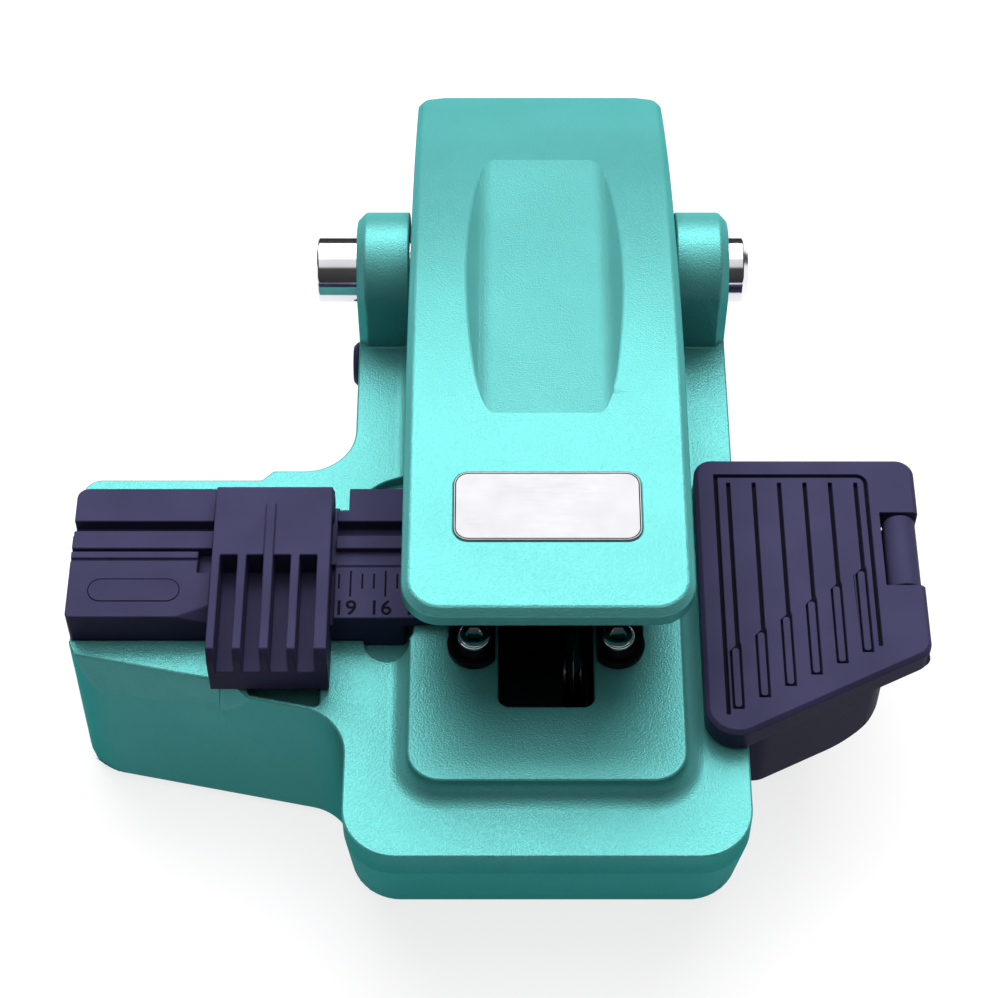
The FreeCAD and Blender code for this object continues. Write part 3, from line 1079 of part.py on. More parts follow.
def adapter_plate():
    """Plate with the fibre groove, a bay for the clamp lid and a flat ledge for the scale."""
    left = ARM_LEFT + PLATE_INSET
    solid = joined([
        plan_solid([(left, PLATE_FRONT, PLATE_CORNER), (PLATE_RIGHT, PLATE_FRONT, PLATE_CORNER),
                    (PLATE_RIGHT, PLATE_BACK, PLATE_CORNER), (left, PLATE_BACK, PLATE_REAR_CORNER)],
                   SEAT_Z, PLATE_TOP),
        box(PLATE_RIGHT - PLATE_CORNER, PLATE_NOSE_RIGHT, PLATE_FRONT, PLATE_BACK,
            PLATEAU_TOP + FIT, PLATE_TOP)])
    bay_left = CLAMP_LEFT - CLAMP_SIDE_GAP
    bay_right = CLAMP_RIGHT + CLAMP_SIDE_GAP
    groove_back = FIBRE_Y + FIBRE_GROOVE_WIDTH / 2
    groove_front = FIBRE_Y - FIBRE_GROOVE_WIDTH / 2
    bay_floor = BODY_TOP + CLAMP_BAY_FLOOR
    hinge_front = CLAMP_AXIS_Y - KNUCKLE_RADIUS - CLAMP_KNUCKLE_GAP
    right = (bay_right, PLATE_NOSE_RIGHT + BEYOND)
    far_left = (left - BEYOND, bay_left)
    shoulder_back = SIDE_GROOVE[0] - SHOULDER_STEP
    line_back = groove_front + SEAM_WIDTH
    sky = PLATE_TOP + BEYOND
    facet = side_solid([(0, -FACET, 0), (FACET, 0, 0), (FACET, BEYOND, 0), (-FACET, BEYOND, 0),
                        (-FACET, -FACET, 0)], 0, FACET_LENGTH + BEYOND)
    taper = math.degrees(math.atan2(FACET, FACET_LENGTH))
    facet.rotate(FreeCAD.Vector(0, 0, 0), FreeCAD.Vector(0, 0, 1), taper)
    facet.translate(FreeCAD.Vector(bay_left - FACET_LENGTH, PLATE_FRONT - FACET, PLATE_TOP))
    solid = without(solid, [
        # right of the clamp: guide groove, fibre groove and scale ledge
        groove(*SIDE_GROOVE, SIDE_GROOVE_DEPTH, *right),
        groove(groove_back, groove_front, FIBRE_GROOVE_DEPTH, *right),
        groove(groove_front - RAIL_WIDTH, PLATE_FRONT - BEYOND, LEDGE_DROP, *right),
        # left of the clamp: narrower guide groove with a low shoulder, and two fine grooves
        groove(SIDE_GROOVE[0], shoulder_back, SIDE_GROOVE_DEPTH, *far_left),
        groove(shoulder_back, SIDE_GROOVE[1], SHOULDER_DROP, *far_left),
        groove(groove_back, groove_back - SEAM_WIDTH, FIBRE_GROOVE_DEPTH, *far_left),
        groove(line_back, groove_front, SEAM_DEPTH, *far_left),
        # clamp bay: fibre bed, low floor in front of it, window beside the clamp
        box(bay_left, bay_right, groove_front, hinge_front, PLATE_TOP - CLAMP_BED_DROP, sky),
        box(bay_left, bay_right, PLATE_FRONT - BEYOND, groove_front, bay_floor, sky),
        box(bay_left - WINDOW_WIDTH, bay_left, groove_front - WINDOW_WIDTH, groove_back, bay_floor, sky),
        # hinge bay, open to the rear, and a gap down to the body at its right end
        box(bay_left, bay_right, hinge_front, PLATE_BACK + BEYOND, BODY_TOP + HINGE_BAY_FLOOR, sky),
        box(bay_right, bay_right + REAR_GAP_WIDTH, PLATE_BACK - REAR_GAP_DEPTH, PLATE_BACK + BEYOND,
            SEAT_Z - BEYOND, sky),
        facet,
    ])
    lug_left, lug_right = CLAMP_LUG
    solid = joined([
        solid,
        rod_x(KNUCKLE_RADIUS, lug_left, lug_right, CLAMP_AXIS_Y, CLAMP_AXIS_Z),
        box(lug_left, lug_right, CLAMP_AXIS_Y - KNUCKLE_RADIUS, CLAMP_AXIS_Y + KNUCKLE_RADIUS,
            SEAT_Z, CLAMP_AXIS_Z)])
    return without(solid, [
        rod_x(CLAMP_PIN_DIAMETER / 2 + SEATED, lug_left - BEYOND, lug_right + BEYOND,
              CLAMP_AXIS_Y, CLAMP_AXIS_Z),
        magnet(PLATE_TOP - CLAMP_BED_DROP - MAGNET_THICKNESS, PLATE_TOP, SEATED),
        adapter_screw(ADAPTER_SCREW_END, bay_floor + BEYOND, CLEAR),
        rod_z(ADAPTER_DOWEL_DIAMETER / 2 + SEATED, SEAT_Z - BEYOND, SEAT_Z + ADAPTER_DOWEL_BITE + TIP_ROOM,
              *ADAPTER_DOWEL_PLACE)])


def adapter_screw(bottom, top, clearance=0.0):
    """Screw that holds the plate, under the clamp lid, or the room for it."""
    shank = rod_z(ADAPTER_SCREW_SHANK / 2 + clearance, bottom, ADAPTER_SCREW_SEAT, *ADAPTER_SCREW_PLACE)
    head = rod_z(ADAPTER_SCREW_HEAD / 2 + clearance, ADAPTER_SCREW_SEAT, top, *ADAPTER_SCREW_PLACE)
    return joined([shank, head])


def adapter_plate_screw():
    return adapter_screw(ADAPTER_SCREW_END, BODY_TOP + CLAMP_BAY_FLOOR)


def adapter_dowel():
    """Pin that lines the plate up with the arm."""
    return rod_z(ADAPTER_DOWEL_DIAMETER / 2, SEAT_Z - ADAPTER_DOWEL_BITE, SEAT_Z + ADAPTER_DOWEL_BITE,
                 *ADAPTER_DOWEL_PLACE)


def magnet(bottom, top, margin=0.0):
    """Small bar magnet behind the fibre groove, at the clamp lid's right side."""
    right = CLAMP_RIGHT - MAGNET_INSET + margin
    back = CLAMP_AXIS_Y - KNUCKLE_RADIUS - MAGNET_SETBACK + margin
    return box(right - MAGNET_WIDTH - 2 * margin, right, back - MAGNET_DEPTH - 2 * margin, back, bottom, top)


def plate_magnet():
    top = PLATE_TOP - CLAMP_BED_DROP
    return magnet(top - MAGNET_THICKNESS, top)


# ---- Fibre clamp lid ----------------------------------------------------------------------------
def clamp_lid():
    """Finger-operated clamp: slotted slab, tab over the plate's edge, knuckles at the rear."""
    low_bottom = BODY_TOP + CLAMP_BAY_FLOOR + CLAMP_SIDE_GAP
    tab_bottom = BODY_TOP + CLAMP_TAB_GAP
    step_y = FIBRE_Y - FIBRE_GROOVE_WIDTH / 2 - CLAMP_SIDE_GAP
    slab = side_solid([(CLAMP_REAR, CLAMP_SLAB_BOTTOM, 0), (CLAMP_REAR, CLAMP_TOP, CLAMP_REAR_RADIUS),
                       (CLAMP_FRONT + CLAMP_NOSE_RUN, CLAMP_TOP, 0),
                       (CLAMP_FRONT, CLAMP_TOP - CLAMP_NOSE_DROP, 0), (CLAMP_FRONT, tab_bottom, 0),
                       (CLAMP_TAB_INNER, tab_bottom, 0), (CLAMP_TAB_INNER, low_bottom, 0),
                       (step_y, low_bottom, 0), (step_y, CLAMP_SLAB_BOTTOM, 0)], CLAMP_LEFT, CLAMP_RIGHT)
    lug_left, lug_right = CLAMP_LUG
    shapes = [slab]
    for left, right in ((CLAMP_LEFT, lug_left - CLAMP_LUG_GAP), (lug_right + CLAMP_LUG_GAP, CLAMP_RIGHT)):
        shapes.append(rod_x(KNUCKLE_RADIUS, left, right, CLAMP_AXIS_Y, CLAMP_AXIS_Z))
        shapes.append(box(left, right, CLAMP_AXIS_Y - KNUCKLE_RADIUS, CLAMP_REAR, CLAMP_AXIS_Z, CLAMP_TOP
                          - CLAMP_REAR_RADIUS))
    ridge_top = CLAMP_TOP + CLAMP_RIDGE_HEIGHT
    shapes.append(side_solid([(CLAMP_RIDGE_REAR, CLAMP_TOP, 0),
                              (CLAMP_RIDGE_REAR - CLAMP_RIDGE_HEIGHT, ridge_top, 0),
                              (CLAMP_SLOT_REAR - CLAMP_RIDGE_HEIGHT, ridge_top, 0),
                              (CLAMP_RIDGE_FRONT, CLAMP_TOP, 0)],
                             CLAMP_SLOT_STARTS[1] + CLAMP_SLOT_WIDTH, CLAMP_SLOT_STARTS[2]))
    cutters = [box(start, start + CLAMP_SLOT_WIDTH, CLAMP_FRONT - BEYOND, CLAMP_SLOT_REAR,
                   BODY_TOP + CLAMP_SLOT_FLOOR, ridge_top) for start in CLAMP_SLOT_STARTS]
    cutters += [
        rod_x(KNUCKLE_RADIUS + CLAMP_SIDE_GAP, lug_left - CLAMP_LUG_GAP, lug_right + CLAMP_LUG_GAP,
              CLAMP_AXIS_Y, CLAMP_AXIS_Z),
        rod_x(CLAMP_PIN_DIAMETER / 2 + RUNNING, CLAMP_LEFT - BEYOND, CLAMP_RIGHT + BEYOND,
              CLAMP_AXIS_Y, CLAMP_AXIS_Z),
        magnet(CLAMP_SLAB_BOTTOM - BEYOND, CLAMP_SLAB_BOTTOM + MAGNET_THICKNESS, SEATED)]
    return without(joined(shapes), cutters)


def clamp_pad():
    """Rubber pad under the clamp lid, over the fibre."""
    right = CLAMP_RIGHT - MAGNET_INSET - MAGNET_WIDTH - CLAMP_SIDE_GAP
    return box(CLAMP_LEFT + CLAMP_SIDE_GAP, right, FIBRE_Y - FIBRE_GROOVE_WIDTH / 2,
               CLAMP_AXIS_Y - KNUCKLE_RADIUS - MAGNET_SETBACK, CLAMP_SLAB_BOTTOM - CLAMP_PAD_HANG,
               CLAMP_SLAB_BOTTOM)


def clamp_magnet():
    return magnet(CLAMP_SLAB_BOTTOM, CLAMP_SLAB_BOTTOM + MAGNET_THICKNESS)


def clamp_pin():
    return rod_x(CLAMP_PIN_DIAMETER / 2, CLAMP_LEFT + TIP_ROOM, CLAMP_RIGHT - TIP_ROOM,
                 CLAMP_AXIS_Y, CLAMP_AXIS_Z)


# ---- Off-cut bin --------------------------------------------------------------------------------
BIN_SLOPE = (BIN_LID_SHOULDER_Y - BIN_LID_NOSE_Y) / (BIN_LID_RIGHT - BIN_LID_NOSE_X)


def bin_lid_front(x):
    """Y of the bin lid's slanted front edge."""
    return BIN_LID_NOSE_Y + (x - BIN_LID_NOSE_X) * BIN_SLOPE


def bin_form(inset, bottom, top):
    """Solid form of the bin drawn in by inset, its lower right edge well rounded."""
    left = BLOCK_HALF + FIT + inset
    right = BIN_RIGHT - inset
    setback = BIN_SETBACK + inset
    nose_x = left + BIN_NOSE_FLAT
    corners = [(left, bin_lid_front(nose_x) + setback, 0),
               (nose_x, bin_lid_front(nose_x) + setback, BIN_CORNER - inset),
               (right, bin_lid_front(right) + setback, BIN_CORNER - inset),
               (right, BIN_BACK - inset, BIN_CORNER - inset), (left, BIN_BACK - inset, 0)]
    section = [(left, bottom, 0), (right, bottom, BIN_ROUND - inset), (right, top, 0), (left, top, 0)]
    return plan_solid(corners, bottom, top).common(front_solid(section, BIN_LID_NOSE_Y, BIN_LID_BACK))


def bin_body():
    """Tray for fibre off-cuts, screwed to the block's right side."""
    tray = bin_form(0, BIN_BOTTOM, BIN_RIM).cut(bin_form(BIN_WALL, BIN_BOTTOM + BIN_WALL, BIN_RIM + BEYOND))
    near_y, far_y = BIN_NOTCH[0] + BIN_KNUCKLE_GAP, BIN_NOTCH[1] - BIN_KNUCKLE_GAP
    radius = BIN_KNUCKLE_RADIUS - CLEAR
    barrel = rod_y(radius, near_y, far_y, BIN_AXIS_X, BIN_AXIS_Z)
    wall_x = BIN_RIGHT - BIN_WALL / 2
    web = front_solid([(wall_x, BIN_RIM - BIN_WEB_DEPTH, 0), (BIN_AXIS_X, BIN_AXIS_Z - radius, 0),
                       (BIN_AXIS_X, BIN_AXIS_Z, 0), (BIN_RIGHT, BIN_RIM, 0), (wall_x, BIN_RIM, 0)],
                      near_y, far_y)
    holes = [rod_y(BIN_PIN_DIAMETER / 2 + SEATED, near_y - BEYOND, far_y + BEYOND, BIN_AXIS_X, BIN_AXIS_Z)]
    for y, z in BIN_SCREW_PLACES:
        holes.append(rod_x(BIN_SCREW_SHANK / 2 + CLEAR, BLOCK_HALF, BIN_SCREW_SEAT + BEYOND, y, z))
    return without(joined([tray, web, barrel]), holes)


def bin_screws():
    """Pan-head screws inside the tray."""
    screws = []
    for y, z in BIN_SCREW_PLACES:
        head = rod_x(BIN_SCREW_HEAD / 2, BIN_SCREW_SEAT, BIN_SCREW_SEAT + BIN_SCREW_HEAD_HEIGHT, y, z)
        shank = rod_x(BIN_SCREW_SHANK / 2, BLOCK_HALF - BIN_SCREW_REACH, BIN_SCREW_SEAT, y, z)
        screws.append(joined([head, shank]))
    return group(screws)


def rib_groove(index):
    """One decorative groove: a fine line that jogs left into a wider slot towards the front."""
    x = BIN_LID_LEFT + RIB_INSET + index * RIB_PITCH
    end = bin_lid_front(x) + RIB_FRONT_GAP
    jog = end + RIB_SLOT_LENGTH + RIB_SLOT_GROWTH * index
    slot_left = x - RIB_JOG
    slot_right = slot_left + RIB_SLOT
    corners = [(x, RIB_BACK, 0), (x, jog, 0), (slot_left, jog - RIB_JOG, 0), (slot_left, end, 0),
               (slot_right, end, 0), (slot_right, jog, 0), (x + RIB_LINE, jog + RIB_LINE, 0),
               (x + RIB_LINE, RIB_BACK, 0)]
    return plan_solid(corners, BIN_TOP - RIB_DEPTH, BIN_TOP + BEYOND)


def border_line():
    """Fine groove round the ribs: down the left side, across the rear and down the right side."""
    left = BIN_LID_LEFT + PANEL_INSET
    right = BIN_RIGHT - PANEL_HINGE_GAP
    back = BIN_LID_BACK - PANEL_INSET
    low = BIN_TOP - RIB_DEPTH
    high = BIN_TOP + BEYOND
    turn_x = right - PANEL_CORNER
    turn_y = back - PANEL_CORNER
    disc = rod_z(PANEL_CORNER, low, high, turn_x, turn_y)
    ring = disc.cut(rod_z(PANEL_CORNER - RIB_LINE, low, high, turn_x, turn_y))
    return [
        box(left, left + RIB_LINE, bin_lid_front(left) + RIB_FRONT_GAP, back, low, high),
        box(left, turn_x, back - RIB_LINE, back, low, high),
        box(right - RIB_LINE, right, bin_lid_front(right) + RIB_FRONT_GAP, turn_y, low, high),
        ring.common(box(turn_x, right, turn_y, back, low, high)),
    ]


def bin_lid():
    """Bin lid with a sunk border line and ribs, hinged at its right edge."""
    bottom = BIN_TOP - BIN_LID_THICKNESS
    solid = plan_solid([(BIN_LID_LEFT, BIN_LID_NOSE_Y, BIN_LID_NOSE_RADIUS),
                        (BIN_LID_NOSE_X, BIN_LID_NOSE_Y, BIN_LID_RADIUS),
                        (BIN_LID_RIGHT, BIN_LID_SHOULDER_Y, BIN_LID_RADIUS),
                        (BIN_LID_RIGHT, BIN_LID_BACK, BIN_LID_RADIUS),
                        (BIN_LID_LEFT, BIN_LID_BACK, BIN_LID_RADIUS)], bottom, BIN_TOP)
    rim = chosen_edges(solid, lambda b: near(b.ZMin, BIN_TOP) and near(b.ZMax, BIN_TOP))
    shapes = [solid.makeChamfer(BIN_LID_EDGE, rim)]
    for near_y, far_y in ((BIN_LID_SHOULDER_Y, BIN_NOTCH[0]), (BIN_NOTCH[1], BIN_LID_BACK - BIN_LID_RADIUS)):
        shapes.append(rod_y(BIN_KNUCKLE_RADIUS, near_y, far_y, BIN_AXIS_X, BIN_AXIS_Z))
    cutters = [
        box(BIN_RIGHT, BIN_LID_RIGHT + BEYOND, BIN_NOTCH[0], BIN_NOTCH[1], bottom - BEYOND, BIN_TOP + BEYOND),
        rod_y(BIN_PIN_DIAMETER / 2 + RUNNING, BIN_LID_SHOULDER_Y + TIP_ROOM, BIN_LID_BACK - BIN_LID_RADIUS
              - TIP_ROOM, BIN_AXIS_X, BIN_AXIS_Z),
    ]
    cutters += border_line()
    cutters += [rib_groove(index) for index in range(RIB_COUNT)]
    return without(joined(shapes), cutters)


def bin_pin():
    return rod_y(BIN_PIN_DIAMETER / 2, BIN_LID_SHOULDER_Y + 2 * TIP_ROOM,
                 BIN_LID_BACK - BIN_LID_RADIUS - 2 * TIP_ROOM, BIN_AXIS_X, BIN_AXIS_Z)


# ---- Side button --------------------------------------------------------------------------------
def side_button():
    """Button in the block's left side, held in by a flange behind its guide."""
    outer = -BLOCK_HALF - BUTTON_PROUD
    radius = BUTTON_DIAMETER / 2
    flange_radius = GUIDE_RADIUS - CLEAR
    return round_bar([(outer, radius - BUTTON_EDGE), (outer + BUTTON_EDGE, radius), (BUTTON_FLANGE_X, radius),
                      (BUTTON_FLANGE_X, flange_radius), (BUTTON_FLANGE_X + BUTTON_FLANGE, flange_radius)],
                     BUTTON_Y, BUTTON_Z)


def button_guide():
    sleeve = rod_x(GUIDE_RADIUS, -BLOCK_HALF, -BLOCK_HALF + BUTTON_GUIDE_LENGTH, BUTTON_Y, BUTTON_Z)
    bore = rod_x(BUTTON_DIAMETER / 2 + RUNNING, -BLOCK_HALF - BEYOND, 0, BUTTON_Y, BUTTON_Z)
    return sleeve.cut(bore)


def button_spring():
    start = FreeCAD.Vector(BUTTON_FLANGE_X + BUTTON_FLANGE, BUTTON_Y, BUTTON_Z)
    return coil_spring(start, FreeCAD.Vector(1, 0, 0), BUTTON_SPRING_ROOM, BUTTON_SPRING_OUTER,
                       BUTTON_SPRING_WIRE, BUTTON_SPRING_TURNS)


# ---- Parts list ---------------------------------------------------------------------------------
PARTS = {
    "body": body,
    "bottom_cover": bottom_cover,
    "cover_screws": cover_screws,
    "base_pad": base_pad,
    "arm_foot": arm_foot,
    "hinge_shaft": hinge_shaft,
    "shaft_set_screws": shaft_set_screws,
    "lid": lid,
    "lid_bushes": lid_bushes,
    "nameplate": nameplate,
    "upper_pad_block": upper_pad_block,
    "upper_pads": upper_pads,
    "pad_guide_screws": pad_guide_screws,
    "pad_springs": pad_springs,
    "anvil_holder": anvil_holder,
    "anvil_pad": anvil_pad,
    "lower_jaws": lower_jaws,
    "lower_pads": lower_pads,
    "jaw_screws": jaw_screws,
    "carriage": carriage,
    "carriage_bushes": carriage_bushes,
    "guide_rods": guide_rods,
    "travel_bumpers": travel_bumpers,
    "blade_wheel": blade_wheel,
    "blade_hub": blade_hub,
    "blade_axle": blade_axle,
    "adapter_plate": adapter_plate,
    "adapter_screw": adapter_plate_screw,
    "adapter_dowel": adapter_dowel,
    "plate_magnet": plate_magnet,
    "clamp_lid": clamp_lid,
    "clamp_pad": clamp_pad,
    "clamp_magnet": clamp_magnet,
    "clamp_pin": clamp_pin,
    "bin_body": bin_body,
    "bin_screws": bin_screws,
    "bin_lid": bin_lid,
    "bin_pin": bin_pin,
    "side_button": side_button,
    "button_guide": button_guide,
    "button_spring": button_spring,
}


def main():
    os.makedirs("parts", exist_ok=True)
    for name, make in PARTS.items():
        shape = make()
        shape.exportStep("parts/%s.step" % name)
        extent = shape.BoundBox
        print("%-18s solids %d valid %s volume %.1f  x %.2f..%.2f y %.2f..%.2f z %.2f..%.2f" % (
            name, len(shape.Solids), shape.isValid(), shape.Volume, extent.XMin, extent.XMax,
            extent.YMin, extent.YMax, extent.ZMin, extent.ZMax))


main()
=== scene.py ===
"""Fibre cleaver: finished pieces, materials, lamps and camera, laid out as a Blender add-on."""
import json
import math

import bmesh
import bpy
from bpy.props import FloatProperty, FloatVectorProperty, IntProperty, PointerProperty
from mathutils import Matrix, Vector

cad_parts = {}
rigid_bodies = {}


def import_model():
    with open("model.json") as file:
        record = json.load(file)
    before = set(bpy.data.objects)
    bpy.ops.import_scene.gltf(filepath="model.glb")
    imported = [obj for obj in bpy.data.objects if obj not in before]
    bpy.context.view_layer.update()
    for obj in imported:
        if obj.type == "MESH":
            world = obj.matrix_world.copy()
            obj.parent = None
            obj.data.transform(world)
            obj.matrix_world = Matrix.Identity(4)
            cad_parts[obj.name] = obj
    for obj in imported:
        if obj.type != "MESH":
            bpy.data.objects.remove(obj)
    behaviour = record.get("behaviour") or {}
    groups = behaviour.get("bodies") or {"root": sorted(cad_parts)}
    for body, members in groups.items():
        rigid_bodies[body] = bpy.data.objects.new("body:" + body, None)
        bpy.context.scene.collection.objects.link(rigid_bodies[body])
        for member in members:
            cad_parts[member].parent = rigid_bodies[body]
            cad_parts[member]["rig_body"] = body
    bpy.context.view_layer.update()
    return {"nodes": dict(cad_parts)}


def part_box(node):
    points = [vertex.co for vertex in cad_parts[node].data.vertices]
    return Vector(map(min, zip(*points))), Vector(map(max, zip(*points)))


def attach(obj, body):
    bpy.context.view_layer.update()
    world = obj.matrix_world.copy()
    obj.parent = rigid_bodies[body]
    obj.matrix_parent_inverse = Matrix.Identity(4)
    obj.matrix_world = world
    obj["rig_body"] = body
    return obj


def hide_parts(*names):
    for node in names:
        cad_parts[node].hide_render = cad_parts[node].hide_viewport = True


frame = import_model()

bl_info = {
    "name": "Fibre Cleaver",
    "version": (1, 0, 0),
    "blender": (4, 5, 0),
    "location": "3D View > Sidebar > Cleaver",
    "description": "Builds the finished pieces of a bench fibre cleaver on its packed frame",
    "category": "Object",
}

MM = 0.001
WELD = 0.000004                    # corners of loose triangles nearer than this are one corner
ON_CUT = WELD / 4                  # corners nearer to a cutting plane than this lie on it
FLAT_ANGLE = math.radians(0.6)     # neighbouring facets within this angle are one flat face
CREASE = math.radians(32)          # edges sharper than this stay crisp or are rounded over
FACING = 0.9                       # a face looks to a side when this much of its normal does
SQUARE = 0.99                      # and is square to that side when this much does
NOISE_RANGE = (0.3, 0.7)           # nearly all values of a noise lie between these
BED_DROP = 0.6 * MM                # the magnet's face below the fibre plate's rails
PLATE_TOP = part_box("plate_magnet")[1].z + BED_DROP


# ---- Settings -----------------------------------------------------------------------------------
class CleaverFinish(bpy.types.PropertyGroup):
    """Colours and textures of the cleaver's materials."""
    anodised_colour: FloatVectorProperty(
        name="Anodised colour", description="Dye of the anodised aluminium",
        subtype="COLOR", size=3, min=0, max=1, default=(0.098, 0.36, 0.348))
    anodised_roughness: FloatProperty(
        name="Anodised roughness", description="Satin of the blasted aluminium",
        min=0, max=1, default=0.33)
    blast_grain: FloatProperty(
        name="Blast grain", description="Size of the pits left by bead blasting",
        subtype="DISTANCE", unit="LENGTH", default=0.15 * MM)
    plastic_colour: FloatVectorProperty(
        name="Plastic colour", description="Colour of the moulded black pieces",
        subtype="COLOR", size=3, min=0, max=1, default=(0.038, 0.036, 0.080))
    plastic_roughness: FloatProperty(
        name="Plastic roughness", description="Sheen of the moulded black pieces",
        min=0, max=1, default=0.48)
    moulded_grain: FloatProperty(
        name="Moulded grain", description="Size of the fine texture on moulded pieces",
        subtype="DISTANCE", unit="LENGTH", default=0.16 * MM)
    steel_colour: FloatVectorProperty(
        name="Steel colour", description="Colour of polished steel",
        subtype="COLOR", size=3, min=0, max=1, default=(0.78, 0.77, 0.80))
    turned_colour: FloatVectorProperty(
        name="Turned steel colour", description="Colour of screws, pins and rods",
        subtype="COLOR", size=3, min=0, max=1, default=(0.42, 0.42, 0.44))
    label_colour: FloatVectorProperty(
        name="Label colour", description="Colour of the silvered label plate",
        subtype="COLOR", size=3, min=0, max=1, default=(0.50, 0.50, 0.52))
    rubber_colour: FloatVectorProperty(
        name="Rubber colour", description="Colour of pads, bumpers and feet",
        subtype="COLOR", size=3, min=0, max=1, default=(0.018, 0.018, 0.020))


class CleaverEdges(bpy.types.PropertyGroup):
    """Widths of the rounded edges."""
    aluminium: FloatProperty(
        name="Aluminium edges", description="Broken edge of the machined pieces",
        subtype="DISTANCE", unit="LENGTH", default=0.14 * MM)
    plastic: FloatProperty(
        name="Plastic edges", description="Rounded edge of the moulded pieces",
        subtype="DISTANCE", unit="LENGTH", default=0.10 * MM)
    steel: FloatProperty(
        name="Steel edges", description="Broken edge of steel pieces",
        subtype="DISTANCE", unit="LENGTH", default=0.06 * MM)
    steps: IntProperty(
        name="Edge steps", description="Facets across each rounded edge", min=1, max=6, default=2)


class CleaverScale(bpy.types.PropertyGroup):
    """Sizes of the scale beside the fibre groove."""
    pitch: FloatProperty(
        name="Pitch", description="Distance from one line to the next",
        subtype="DISTANCE", unit="LENGTH", default=1.0 * MM)
    line_width: FloatProperty(
        name="Line width", description="Width of a scale line",
        subtype="DISTANCE", unit="LENGTH", default=0.16 * MM)
    long_line: FloatProperty(
        name="Long line", description="Length of a numbered line",
        subtype="DISTANCE", unit="LENGTH", default=2.6 * MM)
    short_line: FloatProperty(
        name="Short line", description="Length of the lines between",
        subtype="DISTANCE", unit="LENGTH", default=1.5 * MM)
    number_height: FloatProperty(
        name="Number height", description="Height of the numbers",
        subtype="DISTANCE", unit="LENGTH", default=1.5 * MM)
    relief: FloatProperty(
        name="Relief", description="Height of lines and numbers over the plate",
        subtype="DISTANCE", unit="LENGTH", default=0.03 * MM)


class CleaverStage(bpy.types.PropertyGroup):
    """Camera, floor and lamps."""
    distance: FloatProperty(
        name="Distance", description="Camera to its target",
        subtype="DISTANCE", unit="LENGTH", default=0.236)
    elevation: FloatProperty(
        name="Elevation", description="Camera's angle above the floor",
        subtype="ANGLE", unit="ROTATION", default=math.radians(54.9))
    lens: FloatProperty(
        name="Lens", description="Focal length in millimetres on a 36 mm sensor", default=95.04)
    ceiling_power: FloatProperty(
        name="Ceiling softbox power", description="Power of the broad softbox overhead",
        subtype="POWER", unit="POWER", default=2.6)
    rear_power: FloatProperty(
        name="Rear softbox power", description="Power of the softbox high behind the cleaver",
        subtype="POWER", unit="POWER", default=5.1)
    sky_strength: FloatProperty(
        name="Sky strength", description="Strength of the dim room beyond the softboxes",
        min=0, default=1.0)


# ---- Materials ----------------------------------------------------------------------------------
def set_inputs(node, values):
    """Sets a node's input sockets, by name, to plain values."""
    for name, value in values.items():
        node.inputs[name].default_value = value


def new_material(name):
    """Empty node material, with its shader, and a coordinate node set to the object's own space."""
    material = bpy.data.materials.new(name)
    material.use_nodes = True
    nodes = material.node_tree.nodes
    nodes.clear()
    output = nodes.new("ShaderNodeOutputMaterial")
    shader = nodes.new("ShaderNodeBsdfPrincipled")
    place = nodes.new("ShaderNodeTexCoord")
    material.node_tree.links.new(shader.outputs["BSDF"], output.inputs["Surface"])
    return material, shader, place.outputs["Object"]


def noise(material, place, size, detail=2.0, stretch=(1, 1, 1)):
    """Noise whose features are about size across, drawn out along the axes by stretch."""
    tree = material.node_tree
    mapping = tree.nodes.new("ShaderNodeMapping")
    texture = tree.nodes.new("ShaderNodeTexNoise")
    set_inputs(mapping, {"Scale": [1 / factor for factor in stretch]})
    set_inputs(texture, {"Scale": 1 / size, "Detail": detail})
    tree.links.new(place, mapping.inputs["Vector"])
    tree.links.new(mapping.outputs["Vector"], texture.inputs["Vector"])
    return texture.outputs["Fac"]


def map_range(tree, value, source, result):
    """Value carried over from one range to another."""
    node = tree.nodes.new("ShaderNodeMapRange")
    set_inputs(node, {"From Min": source[0], "From Max": source[1],
                      "To Min": result[0], "To Max": result[1]})
    tree.links.new(value, node.inputs["Value"])
    return node.outputs["Result"]


def tinted(material, value, colour, low, high):
    """Colour that runs from low to high times its brightness with a noise's value."""
    tree = material.node_tree
    ramp = tree.nodes.new("ShaderNodeValToRGB")
    for stop, position, factor in zip(ramp.color_ramp.elements, NOISE_RANGE, (low, high)):
        stop.position = position
        stop.color = [min(1, channel * factor) for channel in colour] + [1]
    tree.links.new(value, ramp.inputs["Fac"])
    return ramp.outputs["Color"]


def relief(material, shader, height, strength, depth):
    """Bump of a given depth on the shader."""
    tree = material.node_tree
    bump = tree.nodes.new("ShaderNodeBump")
    set_inputs(bump, {"Strength": strength, "Distance": depth})
    tree.links.new(height, bump.inputs["Height"])
    tree.links.new(bump.outputs["Normal"], shader.inputs["Normal"])


def surface(material, shader, colour, marks, roughness):
    """Links a colour, and marks spread over a range of roughness, to the shader."""
    tree = material.node_tree
    tree.links.new(colour, shader.inputs["Base Color"])
    rough = map_range(tree, marks, NOISE_RANGE, roughness)
    tree.links.new(rough, shader.inputs["Roughness"])


def anodised_aluminium():
    """Dyed, bead-blasted aluminium: satin metal under a clear oxide skin."""
    finish = bpy.context.scene.cleaver_finish
    material, shader, place = new_material("Anodised aluminium")
    set_inputs(shader, {"Metallic": 0.36, "Specular IOR Level": 0.0,
                        "Specular Tint": (0.12, 0.75, 0.72, 1)})
    cloud = noise(material, place, size=9 * MM)
    grain = noise(material, place, finish.blast_grain)
    rough = finish.anodised_roughness
    surface(material, shader, tinted(material, cloud, finish.anodised_colour, low=0.96, high=1.04),
            grain, (rough - 0.05, rough + 0.06))
    relief(material, shader, grain, strength=0.9, depth=0.05 * MM)
    return material


